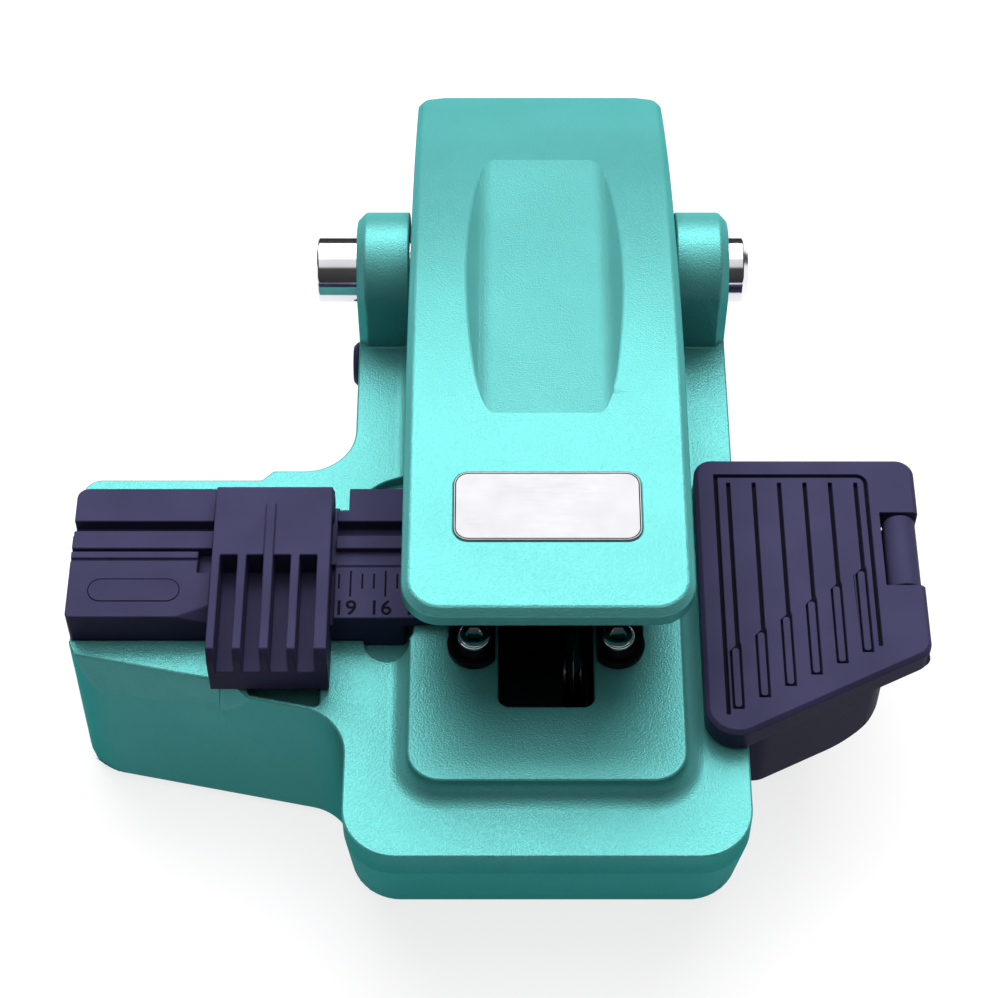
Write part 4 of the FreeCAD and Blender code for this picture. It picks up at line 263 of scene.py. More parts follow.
def moulded_plastic():
    """Black plastic with a violet cast and the fine texture of its mould."""
    finish = bpy.context.scene.cleaver_finish
    material, shader, place = new_material("Moulded plastic")
    set_inputs(shader, {"Specular IOR Level": 0.04, "Specular Tint": (0.62, 0.62, 1.0, 1)})
    cloud = noise(material, place, size=6 * MM)
    grain = noise(material, place, finish.moulded_grain)
    rough = finish.plastic_roughness
    surface(material, shader, tinted(material, cloud, finish.plastic_colour, low=0.9, high=1.12),
            grain, (rough - 0.06, rough + 0.06))
    relief(material, shader, grain, strength=0.25, depth=0.02 * MM)
    return material


def metal(name, colour, rough, stretch=(1, 1, 1), mark_size=0.2 * MM, strength=0.12, metallic=1.0):
    """Bare metal with fine tool marks drawn out along one axis."""
    material, shader, place = new_material(name)
    set_inputs(shader, {"Metallic": metallic})
    cloud = noise(material, place, size=3 * MM)
    marks = noise(material, place, mark_size, stretch=stretch)
    surface(material, shader, tinted(material, cloud, colour, low=0.94, high=1.05),
            marks, (rough * 0.8, rough * 1.3))
    relief(material, shader, marks, strength, depth=0.004 * MM)
    return material


def soft_rubber(name, colour, rough):
    """Matt rubber with a dusty mottling."""
    material, shader, place = new_material(name)
    cloud = noise(material, place, size=1.5 * MM, detail=4.0)
    grain = noise(material, place, size=0.25 * MM)
    surface(material, shader, tinted(material, cloud, colour, low=0.85, high=1.25),
            grain, (rough - 0.08, rough + 0.05))
    relief(material, shader, grain, strength=0.3, depth=0.03 * MM)
    return material


def dark_line():
    """Dark print and engraved lines, and painted shade on the bin lid's groove floors."""
    material, shader, place = new_material("Dark line")
    set_inputs(shader, {"Roughness": 0.6, "Specular IOR Level": 0.02})
    cloud = noise(material, place, size=0.6 * MM)
    colour = tinted(material, cloud, (0.004, 0.004, 0.009), low=0.8, high=1.2)
    material.node_tree.links.new(colour, shader.inputs["Base Color"])
    return material


def turned_steel():
    """Satin steel of screws, pins and rods."""
    return metal("Turned steel", bpy.context.scene.cleaver_finish.turned_colour, rough=0.34)


def polished_steel():
    """Bright steel with its polishing marks along X."""
    return metal("Polished steel", bpy.context.scene.cleaver_finish.steel_colour, rough=0.10,
                 stretch=(30, 1, 1))


def silvered_label():
    """Matt silver foil brushed along X."""
    return metal("Silvered label", bpy.context.scene.cleaver_finish.label_colour, rough=0.50,
                 stretch=(40, 1, 1), mark_size=0.06 * MM, strength=0.2, metallic=0.05)


def black_anodised():
    """Black dyed aluminium."""
    return metal("Black anodised", (0.010, 0.010, 0.013), rough=0.42)


def ground_carbide():
    """Finely ground hard metal of the blade."""
    return metal("Ground carbide", (0.30, 0.30, 0.33), rough=0.14, mark_size=0.08 * MM)


def bearing_bronze():
    """Sintered bronze of the bushes."""
    return metal("Bearing bronze", (0.56, 0.33, 0.13), rough=0.32)


def plated_magnet():
    """Nickel on a magnet."""
    return metal("Plated magnet", (0.36, 0.35, 0.33), rough=0.30)


def spring_wire():
    """Drawn wire of the springs."""
    return metal("Spring wire", (0.50, 0.50, 0.52), rough=0.22)


def black_rubber():
    """Rubber of pads, bumpers and feet."""
    return soft_rubber("Black rubber", bpy.context.scene.cleaver_finish.rubber_colour, rough=0.78)


def clamp_rubber():
    """Dark grey rubber that grips the fibre."""
    return soft_rubber("Clamp rubber", (0.055, 0.055, 0.060), rough=0.62)


def material_named(maker):
    """The material that a function makes, made once."""
    title = maker.__name__.replace("_", " ").capitalize()
    return bpy.data.materials.get(title) or maker()


# ---- Mesh tools ---------------------------------------------------------------------------------
def mesh_from(shape, name):
    """New mesh from a bmesh, which is freed."""
    mesh = bpy.data.meshes.new(name)
    shape.to_mesh(mesh)
    shape.free()
    return mesh


def finished_object(shape, name, materials, body, stands_for=()):
    """Object from a bmesh, riding on its body, with its materials and what it stands for."""
    mesh = mesh_from(shape, name)
    for material in materials:
        mesh.materials.append(material)
    piece = bpy.data.objects.new(name, mesh)
    bpy.context.scene.collection.objects.link(piece)
    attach(piece, body)
    if stands_for:
        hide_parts(*stands_for)
    return piece


def smooth_by_angle(shape):
    """Smooth faces, with the edges that turn by more than the crease angle kept sharp."""
    for face in shape.faces:
        face.smooth = True
    for edge in shape.edges:
        edge.smooth = edge.calc_face_angle(0) < CREASE


def welded_copy(node):
    """A node's mesh with its loose triangles joined and flat areas made whole."""
    shape = bmesh.new()
    shape.from_mesh(frame["nodes"][node].data)
    bmesh.ops.remove_doubles(shape, verts=shape.verts, dist=WELD)
    bmesh.ops.dissolve_limit(shape, angle_limit=FLAT_ANGLE, use_dissolve_boundaries=False,
                             verts=shape.verts, edges=shape.edges, delimit=set())
    for face in shape.faces:
        face.material_index = 0
    smooth_by_angle(shape)
    return shape


def round_edges(piece, width, steps):
    """Bevel over the sharp edges, and normals that keep the large flat faces flat."""
    bevel = piece.modifiers.new("Rounded edges", "BEVEL")
    bevel.width = width
    bevel.segments = steps
    bevel.limit_method = "ANGLE"
    bevel.angle_limit = CREASE
    bevel.use_clamp_overlap = False
    bevel.miter_outer = "MITER_ARC"
    normals = piece.modifiers.new("Even shading", "WEIGHTED_NORMAL")
    normals.keep_sharp = True


def dressed(node, name, maker, width, steps=None, shape=None):
    """Finished piece that stands for a node: the same form with its edges rounded over."""
    body = frame["nodes"][node]["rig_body"]
    shape = shape or welded_copy(node)
    piece = finished_object(shape, name, [material_named(maker)], body, (node,))
    round_edges(piece, width, steps or bpy.context.scene.cleaver_edges.steps)
    return piece


def bevel_edges(shape, edges, offset, segments):
    """Rounds edges over in the mesh itself."""
    bmesh.ops.bevel(shape, geom=edges, offset=offset, offset_type="OFFSET", affect="EDGES",
                    segments=segments, profile=0.5, material=-1)


def lowest(shape):
    """Height of a shape's lowest point."""
    return min(vert.co.z for vert in shape.verts)


def rising(edge):
    """How far an edge rises from one end to the other."""
    return abs(edge.verts[0].co.z - edge.verts[1].co.z)


def with_corners(faces):
    """Faces together with their edges and vertices, always in the same order."""
    edges = [edge for face in faces for edge in face.edges]
    verts = [vert for face in faces for vert in face.verts]
    return list(dict.fromkeys(faces + edges + verts))


def block_between(shape, low, high):
    """Adds a block with corners low and high, and returns its vertices."""
    size = high - low
    matrix = Matrix.Translation((low + high) / 2) @ Matrix.Diagonal((*size, 1))
    return bmesh.ops.create_cube(shape, size=1, matrix=matrix)["verts"]


def turned_form(profile, axis_point, axis, steps):
    """Closed form from an open profile that starts and ends on its axis, spun all the way round."""
    shape = bmesh.new()
    corners = [shape.verts.new(point) for point in profile]
    edges = [shape.edges.new(pair) for pair in zip(corners, corners[1:])]
    bmesh.ops.spin(shape, geom=corners + edges, cent=axis_point, axis=axis, dvec=(0, 0, 0),
                   angle=math.tau, steps=steps, use_merge=True, use_duplicate=False)
    bmesh.ops.remove_doubles(shape, verts=shape.verts, dist=WELD)
    bmesh.ops.recalc_face_normals(shape, faces=shape.faces)
    smooth_by_angle(shape)
    return shape


def on_hexagon(out, angle):
    """Moves a point of a round rim, at out from the centre, on to the hexagon inside the rim."""
    side = math.pi / 3
    return out * math.cos(side / 2) / math.cos(angle % side - side / 2)


# ---- Pieces -------------------------------------------------------------------------------------
class CLEAVER_OT_body(bpy.types.Operator):
    """Machined block with its arm, plateau and ears"""
    bl_idname = "cleaver.body"
    bl_label = "Body"

    bottom_radius = 0.5 * MM
    bottom_facets = 3
    wall_height = 3.0 * MM         # outer walls are higher than this, the cover's recess lower
    half_width = 17.0 * MM
    lean = (-0.4, -0.2)            # z of the leaning front face's normal lies between these
    corner_radius = 4.5 * MM       # of the block's front corners, seen from above
    corner_facets = 12
    corner_reach = 8.77 * MM       # how far back from the front the corners are reworked
    corner_side = 5.0 * MM         # their faces reach further than this from the block's middle

    def execute(self, context):
        shape = welded_copy("body")
        for side in (-1, 1):
            self.lean_corner(shape, side)
        bevel_edges(shape, self.outer_rim(shape), self.bottom_radius, self.bottom_facets)
        smooth_by_angle(shape)
        dressed("body", "machined_body", anodised_aluminium,
                context.scene.cleaver_edges.aluminium, shape=shape)
        return {"FINISHED"}

    def outer_rim(self, shape):
        """Bottom edges of the outer walls, without those of the cover's recess."""
        bottom = lowest(shape)
        rims = [edge for edge in shape.edges
                if max(vert.co.z for vert in edge.verts) < bottom + WELD
                and edge.calc_face_angle(0) > CREASE]
        outer = [edge for edge in rims
                 if max(vert.co.z for face in edge.link_faces for vert in face.verts)
                 > bottom + self.wall_height]
        found = 0
        while len(outer) > found:
            found = len(outer)
            ends = {vert for edge in outer for vert in edge.verts}
            outer = [edge for edge in rims if ends.intersection(edge.verts)]
        return outer

    def lean_corner(self, shape, side):
        """Carries one round front corner down along the leaning front face, one plane per facet."""
        front = min(vert.co.y for vert in shape.verts)
        leaning = max((face for face in shape.faces if face.normal.y < -FACING
                       and self.lean[0] < face.normal.z < self.lean[1]),
                      key=lambda face: face.calc_area())
        slope = leaning.normal.z / leaning.normal.y
        start = max(vert.co.z for vert in leaning.verts)
        behind = front + self.corner_reach
        self.split_walls(shape, side, start, behind)
        centre = Vector((side * (self.half_width - self.corner_radius), front + self.corner_radius))
        for step in range(self.corner_facets):
            angle = math.radians(90) * (step + 0.5) / self.corner_facets
            out = Vector((side * math.sin(angle), -math.cos(angle)))
            touch = centre + out * self.corner_radius
            near = [face for face in shape.faces
                    if max(vert.co.y for vert in face.verts) < behind + WELD
                    and max(vert.co.x * side for vert in face.verts) > self.corner_side
                    and min(vert.co.z for vert in face.verts) < start - WELD]
            self.cut_away(shape, near, (*touch, start), (*out, slope * out.y))
        bmesh.ops.remove_doubles(shape, verts=shape.verts, dist=ON_CUT)
        bmesh.ops.recalc_face_normals(shape, faces=shape.faces)

    def split_walls(self, shape, side, start, behind):
        """Splits the side wall and the bottom behind a corner, so that its cuts leave the rest."""
        bottom = lowest(shape)
        under = [face for face in shape.faces if face.normal.z < -SQUARE and len(face.verts) > 4
                 and face.calc_center_median().z < bottom + WELD]
        bmesh.ops.triangulate(shape, faces=under)
        walls = [face for face in shape.faces if min(vert.co.z for vert in face.verts) < start
                 and (face.normal.z < -SQUARE or face.normal.x * side > FACING)]
        bmesh.ops.bisect_plane(shape, geom=with_corners(walls), plane_co=(0, behind, 0),
                               plane_no=(0, 1, 0), dist=ON_CUT)

    def cut_away(self, shape, faces, point, normal):
        """Cuts off what lies outside a plane, and closes the cut with a face."""
        cut = bmesh.ops.bisect_plane(shape, geom=with_corners(faces), plane_co=point,
                                     plane_no=normal, dist=ON_CUT, clear_outer=True)["geom_cut"]
        rim = [part for part in cut if isinstance(part, bmesh.types.BMEdge) and part.is_boundary]
        if rim:
            bmesh.ops.contextual_create(shape, geom=rim)


class CLEAVER_OT_lid(bpy.types.Operator):
    """Crowned lid with its thumb scoop"""
    bl_idname = "cleaver.lid"
    bl_label = "Lid"

    # the crown is cut lengthwise at these distances from its middle, so that it shades evenly
    cuts = (2.0 * MM, 7.3 * MM, 8.6 * MM, 10.0 * MM)
    scoop_half = 9.0 * MM          # the scoop lies this near the middle
    scoop_depth = 1.0 * MM         # and no lower than this below its floor
    wall_angle = math.radians(9)   # its walls meet the crown at more than this
    floor_lean = 0.01              # its floor leans back by more than this
    same_plane = 0.01              # normals that differ by less belong to one plane

    def execute(self, context):
        shape = welded_copy("lid")
        for distance in self.cuts:
            for x in (-distance, distance):
                bmesh.ops.bisect_plane(shape, geom=shape.verts[:] + shape.edges[:] + shape.faces[:],
                                       plane_co=(x, 0, 0), plane_no=(1, 0, 0), dist=WELD / 10)
        smooth_by_angle(shape)
        self.crease_scoop(shape)
        dressed("lid", "crowned_lid", anodised_aluminium,
                context.scene.cleaver_edges.aluminium, shape=shape)
        return {"FINISHED"}

    def crease_scoop(self, shape):
        """Marks as sharp the edges of the scoop's walls and the front end of its floor."""
        floor = max((face for face in shape.faces
                     if face.normal.z > FACING and face.normal.y > self.floor_lean),
                    key=lambda face: face.calc_area())
        level = floor.normal.copy()
        inside = min(vert.co.z for vert in floor.verts) - self.scoop_depth
        for edge in shape.edges:
            first, second = (vert.co for vert in edge.verts)
            if (edge.calc_face_angle(0) > self.wall_angle and min(first.z, second.z) > inside
                    and max(abs(first.x), abs(second.x)) < self.scoop_half):
                edge.smooth = False
            across = abs(first.y - second.y) < WELD
            on_floor = [(face.normal - level).length < self.same_plane for face in edge.link_faces]
            if across and any(on_floor) and not all(on_floor):
                edge.smooth = False


class CLEAVER_OT_nameplate(bpy.types.Operator):
    """Bare silvered plate with a dark line round its edge"""
    bl_idname = "cleaver.nameplate"
    bl_label = "Nameplate"

    rim_width = 0.05 * MM
    line_width = 0.11 * MM
    line_depth = 0.03 * MM
    line_wall = line_width / 8     # how far the line's sides lean in

    def execute(self, context):
        shape = welded_copy("nameplate")
        face = max(shape.faces, key=lambda each: each.calc_center_median().z)
        bmesh.ops.inset_region(shape, faces=[face], thickness=self.rim_width, use_even_offset=True)
        ring = bmesh.ops.inset_region(shape, faces=[face], thickness=self.line_width,
                                      use_even_offset=True)["faces"]
        bmesh.ops.inset_region(shape, faces=ring, thickness=self.line_wall, depth=-self.line_depth,
                               use_even_offset=True)
        for part in ring:
            part.material_index = 1
        smooth_by_angle(shape)
        materials = [material_named(silvered_label), material_named(dark_line)]
        finished_object(shape, "label_plate", materials, "lid", ("nameplate",))
        return {"FINISHED"}


class CLEAVER_OT_hinge_shaft(bpy.types.Operator):
    """Polished shaft through the ears, chamfered at both ends"""
    bl_idname = "cleaver.hinge_shaft"
    bl_label = "Hinge shaft"

    left_chamfer = 0.15 * MM
    right_chamfer = 0.5 * MM
    facets = 96

    def execute(self, context):
        low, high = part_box("hinge_shaft")
        centre = (low + high) / 2
        radius = (high.y - low.y) / 2
        left = low.x + self.left_chamfer
        right = high.x - self.right_chamfer
        outline = [(low.x, 0), (low.x, radius - self.left_chamfer), (left, radius),
                   (right, radius), (high.x, radius - self.right_chamfer), (high.x, 0)]
        profile = [Vector((x, centre.y, centre.z + height)) for x, height in outline]
        shape = turned_form(profile, centre, (1, 0, 0), self.facets)
        piece = finished_object(shape, "polished_shaft", [material_named(polished_steel)],
                                "root", ("hinge_shaft",))
        edges = context.scene.cleaver_edges
        round_edges(piece, edges.steel, edges.steps)
        return {"FINISHED"}


class CLEAVER_OT_adapter_plate(bpy.types.Operator):
    """Black fibre plate with its grooves"""
    bl_idname = "cleaver.adapter_plate"
    bl_label = "Fibre plate"

    def execute(self, context):
        dressed("adapter_plate", "fibre_plate", moulded_plastic,
                context.scene.cleaver_edges.plastic)
        return {"FINISHED"}


class CLEAVER_OT_scale(bpy.types.Operator):
    """Millimetre scale in front of the fibre groove, with its numbers"""
    bl_idname = "cleaver.scale"
    bl_label = "Scale"

    zero_x = 2.27 * MM             # the cutting line, where the scale starts
    first_line = 11
    last_line = 20
    numbered = (13, 16, 19)
    ledge_drop = 0.15 * MM         # the ledge under the scale, below the plate's top
    long_back = -10.0 * MM         # rear ends of the long lines
    short_back = -10.3 * MM        # and of the short ones
    number_front = 14.45 * MM
    number_shift = 0.4 * MM        # numbers stand a little to the left of their lines
    cap_share = 0.73               # height of a figure as a share of the font's size
    boldness = 0.02 * MM           # figures are drawn this much fatter
    curve_steps = 3

    def execute(self, context):
        scale = context.scene.cleaver_scale
        level = PLATE_TOP - self.ledge_drop
        half = scale.line_width / 2
        shape = bmesh.new()
        for value in range(self.first_line, self.last_line + 1):
            x = self.zero_x - value * scale.pitch
            long = value in self.numbered
            length = scale.long_line if long else scale.short_line
            back = self.long_back if long else self.short_back
            block_between(shape, Vector((x - half, back - length, level - scale.relief)),
                          Vector((x + half, back, level + scale.relief)))
        for value in self.numbered:
            centre = self.zero_x - value * scale.pitch - self.number_shift
            self.add_number(context, shape, str(value), centre, level)
        bmesh.ops.remove_doubles(shape, verts=shape.verts, dist=WELD)
        bmesh.ops.recalc_face_normals(shape, faces=shape.faces)
        finished_object(shape, "scale_lines", [material_named(dark_line)], "root")
        return {"FINISHED"}

    def add_number(self, context, shape, text, x, level):
        """Adds a number's mesh, centred on x, to the shape."""
        scale = context.scene.cleaver_scale
        curve = bpy.data.curves.new("number", "FONT")
        curve.body = text
        curve.size = scale.number_height / self.cap_share
        curve.align_x = "CENTER"
        curve.extrude = scale.relief
        curve.offset = self.boldness
        curve.resolution_u = self.curve_steps
        writing = bpy.data.objects.new("number", curve)
        context.scene.collection.objects.link(writing)
        graph = context.evaluated_depsgraph_get()
        mesh = bpy.data.meshes.new_from_object(writing.evaluated_get(graph))
        mesh.transform(Matrix.Translation((x, -self.number_front, level)))
        shape.from_mesh(mesh)
        bpy.data.objects.remove(writing)
        bpy.data.curves.remove(curve)
        bpy.data.meshes.remove(mesh)


class CLEAVER_OT_mark_panel(bpy.types.Operator):
    """Bare panel with round ends, framed by a low rim, at the fibre plate's left end"""
    bl_idname = "cleaver.mark_panel"
    bl_label = "Bare panel"

    from_left = 5.7 * MM           # the panel's middle from the plate's left end
    from_front = 2.75 * MM         # and from its front
    half_size = Vector((3.95 * MM, 1.15 * MM, 0.05 * MM))
    end_share = 0.98               # radius of the round ends as a share of half the depth
    end_facets = 10
    rim = 0.08 * MM
    dip = 0.02 * MM                # the panel's face below its rim

    def execute(self, context):
        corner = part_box("adapter_plate")[0]
        centre = Vector((corner.x + self.from_left, corner.y + self.from_front, PLATE_TOP))
        half = self.half_size
        shape = bmesh.new()
        block_between(shape, centre - half, centre + half)
        upright = [edge for edge in shape.edges if rising(edge) > half.z]
        bevel_edges(shape, upright, half.y * self.end_share, self.end_facets)
        top = max(shape.faces, key=lambda each: each.calc_center_median().z)
        ring = bmesh.ops.inset_region(shape, faces=[top], thickness=self.rim, use_even_offset=True)
        for part in ring["faces"]:
            part.material_index = 1
        bmesh.ops.translate(shape, verts=top.verts, vec=(0, 0, -self.dip))
        smooth_by_angle(shape)
        materials = [material_named(moulded_plastic), material_named(dark_line)]
        finished_object(shape, "bare_panel", materials, "root")
        return {"FINISHED"}


class CLEAVER_OT_clamp_lid(bpy.types.Operator):
    """Slotted lid that holds the fibre down on its plate"""
    bl_idname = "cleaver.clamp_lid"
    bl_label = "Fibre clamp"

    def execute(self, context):
        dressed("clamp_lid", "fibre_clamp_lid", moulded_plastic,
                context.scene.cleaver_edges.plastic)
        return {"FINISHED"}


class CLEAVER_OT_bin(bpy.types.Operator):
    """Off-cut bin and its ribbed lid"""
    bl_idname = "cleaver.bin"
    bl_label = "Off-cut bin"

    groove_depth = (0.2 * MM, 0.5 * MM)    # the lid's grooves are this deep
    ribbed_width = (0.8 * MM, 1.3 * MM)    # and this wide where they hold a rib
    rib_gap = 0.2 * MM
    rib_drop = 0.05 * MM           # ribs end just below the lid's face
    rib_round = 0.45               # radius of a rib's corners as a share of its width
    rib_facets = 4

    def execute(self, context):
        width = context.scene.cleaver_edges.plastic
        dressed("bin_body", "offcut_bin", moulded_plastic, width)
        shape = welded_copy("bin_lid")
        top = max(vert.co.z for vert in shape.verts)
        shallow, deep = self.groove_depth
        grooves = [face for face in shape.faces if face.normal.z > SQUARE
                   and top - deep < face.calc_center_median().z < top - shallow]
        for face in grooves:
            # painted shade: the groove floors take the dark line colour in place of the shadow in
            # these narrow recesses
            face.material_index = 1
            self.add_rib(shape, face, top)
        smooth_by_angle(shape)
        lid = dressed("bin_lid", "ribbed_bin_lid", moulded_plastic, width / 2,
                      shape=shape)
        # second material of the lid: the painted shade of its groove floors
        lid.data.materials.append(material_named(dark_line))
        return {"FINISHED"}

    def add_rib(self, shape, groove, top):
        """Adds the raised rib that fills a groove's wide end but for a gap all round."""
        xs = [vert.co.x for vert in groove.verts]
        left, right = min(xs), max(xs)
        wide = [vert.co.y for vert in groove.verts if right - vert.co.x < WELD]
        if not self.ribbed_width[0] < right - left < self.ribbed_width[1] or len(wide) < 2:
            return
        low = Vector((left + self.rib_gap, min(wide) + self.rib_gap, groove.verts[0].co.z))
        high = Vector((right - self.rib_gap, max(wide) - self.rib_gap, top - self.rib_drop))
        corners = block_between(shape, low, high)
        edges = dict.fromkeys(edge for vert in corners for edge in vert.link_edges)
        upright = [edge for edge in edges if rising(edge) > self.rib_drop]
        bevel_edges(shape, upright, (high.x - low.x) * self.rib_round, self.rib_facets)


class CLEAVER_OT_jaws(bpy.types.Operator):
    """Lower jaws and the four screws that hold them"""
    bl_idname = "cleaver.jaws"
    bl_label = "Jaws and screws"

    jaw_edge = 0.12 * MM
    washer_radius = 1.8 * MM
    washer_height = 0.35 * MM
    head_radius = 1.4 * MM
    head_round = 0.3 * MM
    round_steps = 4
    socket_radius = 0.75 * MM
    socket_depth = 0.6 * MM
    drill_point = 1.3              # depth at the socket's middle as a share of its own
    shank_radius = 1.0 * MM
    facets = 36

    def execute(self, context):
        dressed("lower_jaws", "jaw_plates", black_anodised, self.jaw_edge)
        low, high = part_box("jaw_screws")
        jaw_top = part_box("lower_jaws")[1].z
        screws = bmesh.new()
        for x in (low.x + self.washer_radius, high.x - self.washer_radius):
            for y in (low.y + self.washer_radius, high.y - self.washer_radius):
                self.add_screw(screws, x, y, low.z, jaw_top, high.z)
        materials = [material_named(polished_steel), material_named(black_anodised)]
        finished_object(screws, "jaw_cap_screws", materials, "root", ("jaw_screws",))
        return {"FINISHED"}

    def outline(self, foot, seat, top):
        """Radius and height of each corner of a screw on its washer, from foot to socket."""
        washer_top = seat + self.washer_height
        quarter = [math.pi / 2 / self.round_steps * step for step in range(self.round_steps + 1)]
        return [(0, foot), (self.shank_radius, foot), (self.shank_radius, seat),
                (self.washer_radius, seat), (self.washer_radius, washer_top),
                (self.head_radius, washer_top),
                *((self.head_radius - self.head_round * (1 - math.cos(angle)),
                   top - self.head_round * (1 - math.sin(angle))) for angle in quarter),
                (self.socket_radius, top), (self.socket_radius, top - self.socket_depth),
                (0, top - self.socket_depth * self.drill_point)]

    def add_screw(self, screws, x, y, foot, seat, top):
        """Adds a socket cap screw on its black washer, standing at x, y."""
        washer_top = seat + self.washer_height
        profile = [Vector((x + radius, y, z)) for radius, z in self.outline(foot, seat, top)]
        shape = turned_form(profile, Vector((x, y, 0)), (0, 0, 1), self.facets)
        for vert in shape.verts:
            out = Vector((vert.co.x - x, vert.co.y - y))
            if abs(out.length - self.socket_radius) < WELD and vert.co.z > washer_top:
                out = on_hexagon(out, math.atan2(out.y, out.x))
                vert.co.x, vert.co.y = x + out.x, y + out.y
        smooth_by_angle(shape)
        for face in shape.faces:
            middle = face.calc_center_median()
            face.material_index = int(seat - WELD < middle.z < washer_top + WELD)
        mesh = mesh_from(shape, "screw")
        screws.from_mesh(mesh)
        bpy.data.meshes.remove(mesh)


class CLEAVER_OT_carriage(bpy.types.Operator):
    """Blade carriage in the slot"""
    bl_idname = "cleaver.carriage"
    bl_label = "Carriage"

    def execute(self, context):
        dressed("carriage", "blade_carriage", black_anodised,
                width=0.2 * MM, steps=3)
        return {"FINISHED"}


class CLEAVER_OT_blade(bpy.types.Operator):
    """Wheel blade with its edge ground from both sides"""
    bl_idname = "cleaver.blade"
    bl_label = "Wheel blade"

    def execute(self, context):
        dressed("blade_wheel", "wheel_blade", ground_carbide, width=0.01 * MM, steps=1)
        return {"FINISHED"}


class CLEAVER_OT_small_pieces(bpy.types.Operator):
    """Screws, bushes, rods, pads and covers, with their edges broken"""
    bl_idname = "cleaver.small_pieces"
    bl_label = "Small pieces"

    steel = ("cover_screws", "pad_guide_screws", "guide_rods", "blade_hub",
             "blade_axle", "adapter_screw", "adapter_dowel", "clamp_pin", "bin_screws", "bin_pin")
    aluminium = ("upper_pad_block", "anvil_holder")
    rubber = ("base_pad", "arm_foot", "travel_bumpers")
    gripping = ("upper_pads", "lower_pads", "anvil_pad", "clamp_pad")
    magnets = ("plate_magnet", "clamp_magnet")
    bushes = ("lid_bushes", "carriage_bushes")
    plastic = ("side_button", "button_guide")
    covers = ("bottom_cover",)
    springs = ("pad_springs", "button_spring")

    # the set screws' sockets, as shares of the screw's radius
    socket_inset = 0.45
    socket_taper = 0.01
    socket_depth = 0.6

    def execute(self, context):
        edges = context.scene.cleaver_edges
        for names, maker, slot, width in (
                (self.steel, turned_steel, "steel", edges.steel),
                (self.aluminium, black_anodised, "black_anodised", edges.aluminium),
                (self.rubber, black_rubber, "rubber", edges.plastic),
                (self.gripping, clamp_rubber, "clamp_rubber", edges.steel),
                (self.magnets, plated_magnet, "magnet", edges.steel),
                (self.bushes, bearing_bronze, "bronze", edges.steel),
                (self.plastic, moulded_plastic, "black_plastic", edges.plastic),
                (self.covers, black_anodised, "black_anodised", edges.steel)):
            for node in names:
                dressed(node, "finished_" + node, maker, width)
        self.set_screws(edges.steel / 2)
        for node in self.springs:
            materials = frame["nodes"][node].data.materials
            materials.clear()
            materials.append(material_named(spring_wire))
        return {"FINISHED"}

    def set_screws(self, width):
        """Set screws in the ears, each with a hexagon socket in its outer end."""
        shape = welded_copy("shaft_set_screws")
        rear = max(vert.co.y for vert in shape.verts)
        ends = [face for face in shape.faces if face.calc_center_median().y > rear - WELD]
        for end in ends:
            centre = end.calc_center_median()
            radius = max((vert.co - centre).length for vert in end.verts)
            bmesh.ops.inset_region(shape, faces=[end], thickness=radius * self.socket_inset,
                                   use_even_offset=True)
            for vert in end.verts:
                out = vert.co - centre
                vert.co = centre + on_hexagon(out, math.atan2(out.z, out.x))
            bmesh.ops.inset_region(shape, faces=[end], thickness=radius * self.socket_taper,
                                   depth=-radius * self.socket_depth)
        smooth_by_angle(shape)
        dressed("shaft_set_screws", "finished_shaft_set_screws", turned_steel,
                width, steps=1, shape=shape)


# ---- Stage --------------------------------------------------------------------------------------
def lamp(name, place, target, size, power):
    """Rectangular area lamp, of a width and height, that faces its target."""
    data = bpy.data.lights.new(name, "AREA")
    data.shape = "RECTANGLE"
    data.size, data.size_y = size
    data.energy = power
    light = bpy.data.objects.new(name, data)
    light.location = place
    light.rotation_euler = (Vector(target) - Vector(place)).to_track_quat("-Z", "Y").to_euler()
    bpy.context.scene.collection.objects.link(light)


def studio_world(strength):
    """Dim room with a bright ceiling: its colour goes by how steeply a direction points up."""
    shades = {0.0: (0.03, 0.03, 0.035), 0.78: (0.07, 0.07, 0.07),
              0.84: (0.80, 0.80, 0.80), 1.0: (0.95, 0.95, 0.97)}
    world = bpy.data.worlds.new("Studio")
    world.use_nodes = True
    tree = world.node_tree
    tree.nodes.clear()
    output = tree.nodes.new("ShaderNodeOutputWorld")
    background = tree.nodes.new("ShaderNodeBackground")
    set_inputs(background, {"Strength": strength})
    place = tree.nodes.new("ShaderNodeTexCoord")
    split = tree.nodes.new("ShaderNodeSeparateXYZ")
    ramp = tree.nodes.new("ShaderNodeValToRGB")
    stops = ramp.color_ramp.elements
    for height in list(shades)[1:-1]:
        stops.new(height)
    for stop, shade in zip(stops, shades.values()):
        stop.color = (*shade, 1)
    tree.links.new(place.outputs["Generated"], split.inputs["Vector"])
    tree.links.new(split.outputs["Z"], ramp.inputs["Fac"])
    tree.links.new(ramp.outputs["Color"], background.inputs["Color"])
    tree.links.new(background.outputs["Background"], output.inputs["Surface"])
    return world


